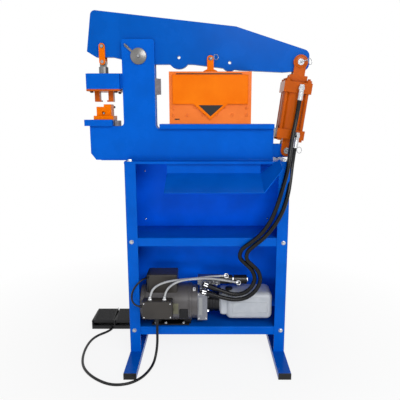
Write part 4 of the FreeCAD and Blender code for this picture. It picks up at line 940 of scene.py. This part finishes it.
def fittings():
    # nuts and sleeves at the ends of the conduits and hoses, and tapered grips where the leads come out
    facts = fittingFacts
    bright, black = [], []
    for place in facts["plugs"]:
        bright += hexHead(place, front, *facts["plug"])
    for place in facts["conduitFeet"]:
        bright += hexHead(place, up, *facts["footNut"])
        bright.append(turned(np.array(place) + (0, 0, facts["footSleeveUp"]), facts["footWay"],
                             facts["footSleeve"]))
    for place, way in facts["conduitEnds"]:
        place, way = np.array(place, float), np.array(way, float)
        bright.append(turned(place - way * facts["endBack"], way, facts["endSleeve"]))
        bright.append(hoop(place + facts["ringShift"], facts["ringWay"], *facts["ring"], 36))
    for place in facts["coilNuts"]:
        bright.append(turned(place, right, facts["coilNut"], 36, 6))
    baseNut, elbowNut, hoseNut = facts["portNuts"]
    for start, port, tilt in facts["ports"]:
        port = np.array(port, float)
        bright += hexHead(start, front, *baseNut)
        bright += hexHead(port + (0, facts["elbowBack"], 0), front, *elbowNut)
        way = np.array([math.cos(math.radians(tilt)), 0, -math.sin(math.radians(tilt))])
        bright += hexHead(port - way * facts["hoseNutBack"], way, *hoseNut)
        black.append(crimped(port + way * facts["crimpFrom"], way, *facts["crimp"]))
    meshObject("unitFittings", bright, brightNickel, "frame")
    meshObject("portCrimps", black, darkSteel, "frame")
    grips = [strainRelief(*grip) for grip in gripFacts]
    meshObject("cordGrips", grips, blackPlastic, "frame")


tankFacts = {
    "body": ((154, -100, 168), (353, 30, 288), 24, 9),  # corners, radius, steps
    "neck": ((128, -88, 184), (180, 18, 284), 12, 7),
    "collar": (124, -35, 228),
    "collarTurn": [(40, 0), (44, 3), (44, 10)],
    "panel": (182, 330, 199, 246),
    "panelCorner": 7,
    "panelSteps": 48,
    "panelFaces": (-99.9, 29.9),
    "panelBeads": (2.0, 1.3),  # on the front and on the back
    "seam": [(176, -99.6, 262), (333, -99.6, 262)],
    "seamBead": 1.5,
    "cap": (168, -48, 286),
    "capTurn": [(14, 0), (14, 4), (16, 4.5), (16, 9.5), (13.5, 11)],
    "capKnurls": 16,
}


def makeTank():
    # rounded boxes for body and neck; a rounded rectangle of bead on each face, and one straight seam
    facts = tankFacts
    parts = [roundedBox(*facts["body"]), roundedBox(*facts["neck"]),
             turned(facts["collar"], right, facts["collarTurn"], 56)]
    x0, x1, z0, z1 = facts["panel"]
    corner, steps = facts["panelCorner"], facts["panelSteps"]
    turn = wholeTurn(steps) + np.pi / steps
    x = (x0 + x1) / 2 + np.sign(np.cos(turn)) * ((x1 - x0) / 2 - corner) + corner * np.cos(turn)
    z = (z0 + z1) / 2 + np.sign(np.sin(turn)) * ((z1 - z0) / 2 - corner) + corner * np.sin(turn)
    for y, bead in zip(facts["panelFaces"], facts["panelBeads"]):
        parts.append(tube(np.stack([x, np.full(steps, y), z], axis=-1), bead, 10, rear, closed=True))
    parts.append(tube(facts["seam"], facts["seamBead"], 10))
    piece = meshObject("tank.body", parts, shadedTankPlastic, "frame", 50)
    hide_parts("tank")
    cap = [turned(facts["cap"], up, facts["capTurn"], 48, facts["capKnurls"])]
    meshObject("tankCap", cap, blackPlastic, "frame")


pumpFacts = {
    "boltFace": 73,
    "boltPlaces": [(-68, 195), (-68, 261), (-2, 195), (-2, 261)],
    "bolt": (11, 7),
    "blockFace": -97,
    "blockScrews": [(37, 174), (37, 282), (67, 174), (67, 282)],
    "screw": (4.2, 3),
    "ribs": (84, 96, 108),
    "ribRing": (43.6, 1.6),
    "tag": ((35, -97.8, 188), (52, -96.5, 268), 0.5),
}


def pumpTrim():
    # bolts on the block's end and front, rings round the pump, and a bare foil tag
    facts = pumpFacts
    bolts = spread(hexHead, facts["boltPlaces"], facts["boltFace"], right, facts["bolt"])
    bolts += spread(roundHead, facts["blockScrews"], facts["blockFace"], front, facts["screw"])
    meshObject("pumpBolts", bolts, brightNickel, "frame")
    ribs = [hoop((x, *unitFacts["axis"]), right, *facts["ribRing"], 56) for x in facts["ribs"]]
    meshObject("pumpRibs", ribs, darkSteel, "frame")
    meshObject("blockTag", [roundedBox(*facts["tag"])], plateFoil, "frame")


# Foot switch treads

treadFacts = {
    "treadles": {"left_treadle": (-487.7, -388.7), "right_treadle": (-379.7, -280.7)},
    "front": 151,
    "depth": 106,
    "low": 44,
    "rise": 12,
    "ribs": 11,
    "ribRadius": 1.5,
    "ribInset": 5,
    "margins": (0.7, 0.4),  # in rib pitches: before the first rib, and added to their number
    "fin": [(-387.4, 40), (-381, 40), (-384.2, 68)],
    "finDepth": (228, 246),
}


def treads():
    # a low fin between the treadles, and ribs across each, evenly spaced up its slope
    facts = treadFacts
    fin = prism(facts["fin"], *facts["finDepth"])
    meshObject("pedalFin", [fin], blackPlastic, "frame")
    first, spare = facts["margins"]
    count, inset = facts["ribs"], facts["ribInset"]
    for body, (x0, x1) in facts["treadles"].items():
        parts = []
        for step in range(count):
            share = (step + first) / (count + spare)
            y = facts["front"] + facts["depth"] * share
            z = facts["low"] + facts["rise"] * share
            parts.append(tube([(x0 + inset, y, z), (x1 - inset, y, z)], facts["ribRadius"], 10))
        meshObject(body + "Ribs", parts, blackPlastic, body)


for makePiece in (standFasteners, frameWelds, pivotCaps, punchEnd, shearTrim, hitchRings, cylinderTrim,
                  motorTrim, unitBoxes, fittings, makeTank, pumpTrim, treads):
    makePiece()
    print(makePiece.__name__, "made")


# Floor, light and camera

stageFacts = {
    "floorSize": 14.0,
    "floorColour": "#F4F4F4",
    "floorRoughness": 0.9,
    "floorGloss": 0.1,
    "worldLight": 0.30,
    "nearShare": 0.86,  # of plain white in the floor near the machine, which keeps its shadow
    "fade": (0.5, 1.5),
}
aimPoint = (0.05, 0.0, 0.75)  # what most lamps face
lampFacts = {
    "frontLamp": {"place": (0.9, -3.3, 2.5), "power": 50.0, "size": (1.5, 1.2)},
    "lowLamp": {"place": (-0.35, -3.0, 0.4), "target": (0.05, 0.1, 0.45), "power": 27.0,
                "size": (1.4, 0.6), "mirrored": False},
    "keyLamp": {"place": (2.4, -2.6, 2.3), "power": 24.0, "size": (1.4, 1.4)},
    "fillLamp": {"place": (-2.6, -2.8, 1.6), "power": 8.0, "size": (2.4, 2.4)},
    "topLamp": {"place": (0.4, 0.6, 3.4), "power": 4.0, "size": (2.0, 2.0)},
}


def stageFloor():
    # one square; what the camera sees of it blends to plain white away from the machine
    size = stageFacts["floorSize"] / 2
    mesh = bpy.data.meshes.new("floor")
    corners = [(-size, -size, 0), (size, -size, 0), (size, size, 0), (-size, size, 0)]
    mesh.from_pydata(corners, [], [(0, 1, 2, 3)])
    floor = placed("floor", mesh)
    material, shader = newMaterial("paleFloor", Roughness=stageFacts["floorRoughness"],
                                   Specular_IOR_Level=stageFacts["floorGloss"])
    shader.inputs["Base Color"].default_value = hexColour(stageFacts["floorColour"])
    white = addNode(material, "Emission", {"Color": (1, 1, 1, 1), "Strength": 1.0})
    ray = addNode(material, "LightPath")
    seen = addNode(material, "Math", {0: ray.outputs["Is Camera Ray"], 1: ray.outputs["Is Glossy Ray"]},
                   operation="MAXIMUM")
    point = addNode(material, "TexCoord").outputs["Object"]
    away = addNode(material, "VectorMath", {0: point}, operation="LENGTH")
    near, far = stageFacts["fade"]
    share = addNode(material, "MapRange", {"Value": away.outputs["Value"], "From Min": near,
                                           "From Max": far, "To Min": stageFacts["nearShare"], "To Max": 1.0})
    both = addNode(material, "Math", {0: seen.outputs[0], 1: share.outputs[0]}, operation="MULTIPLY")
    mix = addNode(material, "MixShader", {0: both.outputs[0], 1: shader.outputs[0], 2: white.outputs[0]})
    output = [node for node in material.node_tree.nodes if node.type == "OUTPUT_MATERIAL"][0]
    link(material, mix.outputs[0], output.inputs["Surface"])
    mesh.materials.append(material)


def stageWorld():
    # soft white light, and a plain white for the eye, for reflections and through what is clear
    world = bpy.data.worlds.new("studio")
    bpy.context.scene.world = world
    world.use_nodes = True
    world.node_tree.nodes.clear()
    soft = addNode(world, "Background", {"Color": (1, 1, 1, 1), "Strength": stageFacts["worldLight"]})
    white = addNode(world, "Background", {"Color": (1, 1, 1, 1), "Strength": 1.0})
    ray = addNode(world, "LightPath")
    seen = addNode(world, "Math", {0: ray.outputs["Is Camera Ray"], 1: ray.outputs["Is Glossy Ray"]},
                   operation="MAXIMUM")
    through = addNode(world, "Math", {0: seen.outputs[0], 1: ray.outputs["Is Transmission Ray"]},
                      operation="MAXIMUM")
    mix = addNode(world, "MixShader", {0: through.outputs[0], 1: soft.outputs[0], 2: white.outputs[0]})
    addNode(world, "OutputWorld", {"Surface": mix.outputs[0]})


def stageLamp(name, place, power, size, target=aimPoint, mirrored=True):
    # a rectangular soft light that faces its target; mirrored says whether gloss shows it
    lamp = bpy.data.lights.new(name, "AREA")
    lamp.energy = power
    lamp.shape = "RECTANGLE"
    lamp.size, lamp.size_y = size
    holder = placed(name, lamp)
    holder.location = place
    holder.rotation_euler = (Vector(target) - Vector(place)).to_track_quat("-Z", "Y").to_euler()
    holder.visible_glossy = mirrored


stageFloor()
stageWorld()
for name, facts in lampFacts.items():
    stageLamp(name, **facts)
print("stage set")

cameraFacts = {
    "place": (0.073, -1.849, 1.025),
    "tilt": 79.3,
    "lens": 39.15,
    "sensor": 36,
    "shift": -0.01825,
}
camera = bpy.data.cameras.new("camera")
camera.sensor_width = cameraFacts["sensor"]
camera.lens = cameraFacts["lens"]
camera.shift_x = cameraFacts["shift"]
eye = placed("camera", camera)
eye.location = cameraFacts["place"]
eye.rotation_euler = (math.radians(cameraFacts["tilt"]), 0, 0)
bpy.context.scene.camera = eye

bpy.context.scene.view_settings.view_transform = "Standard"
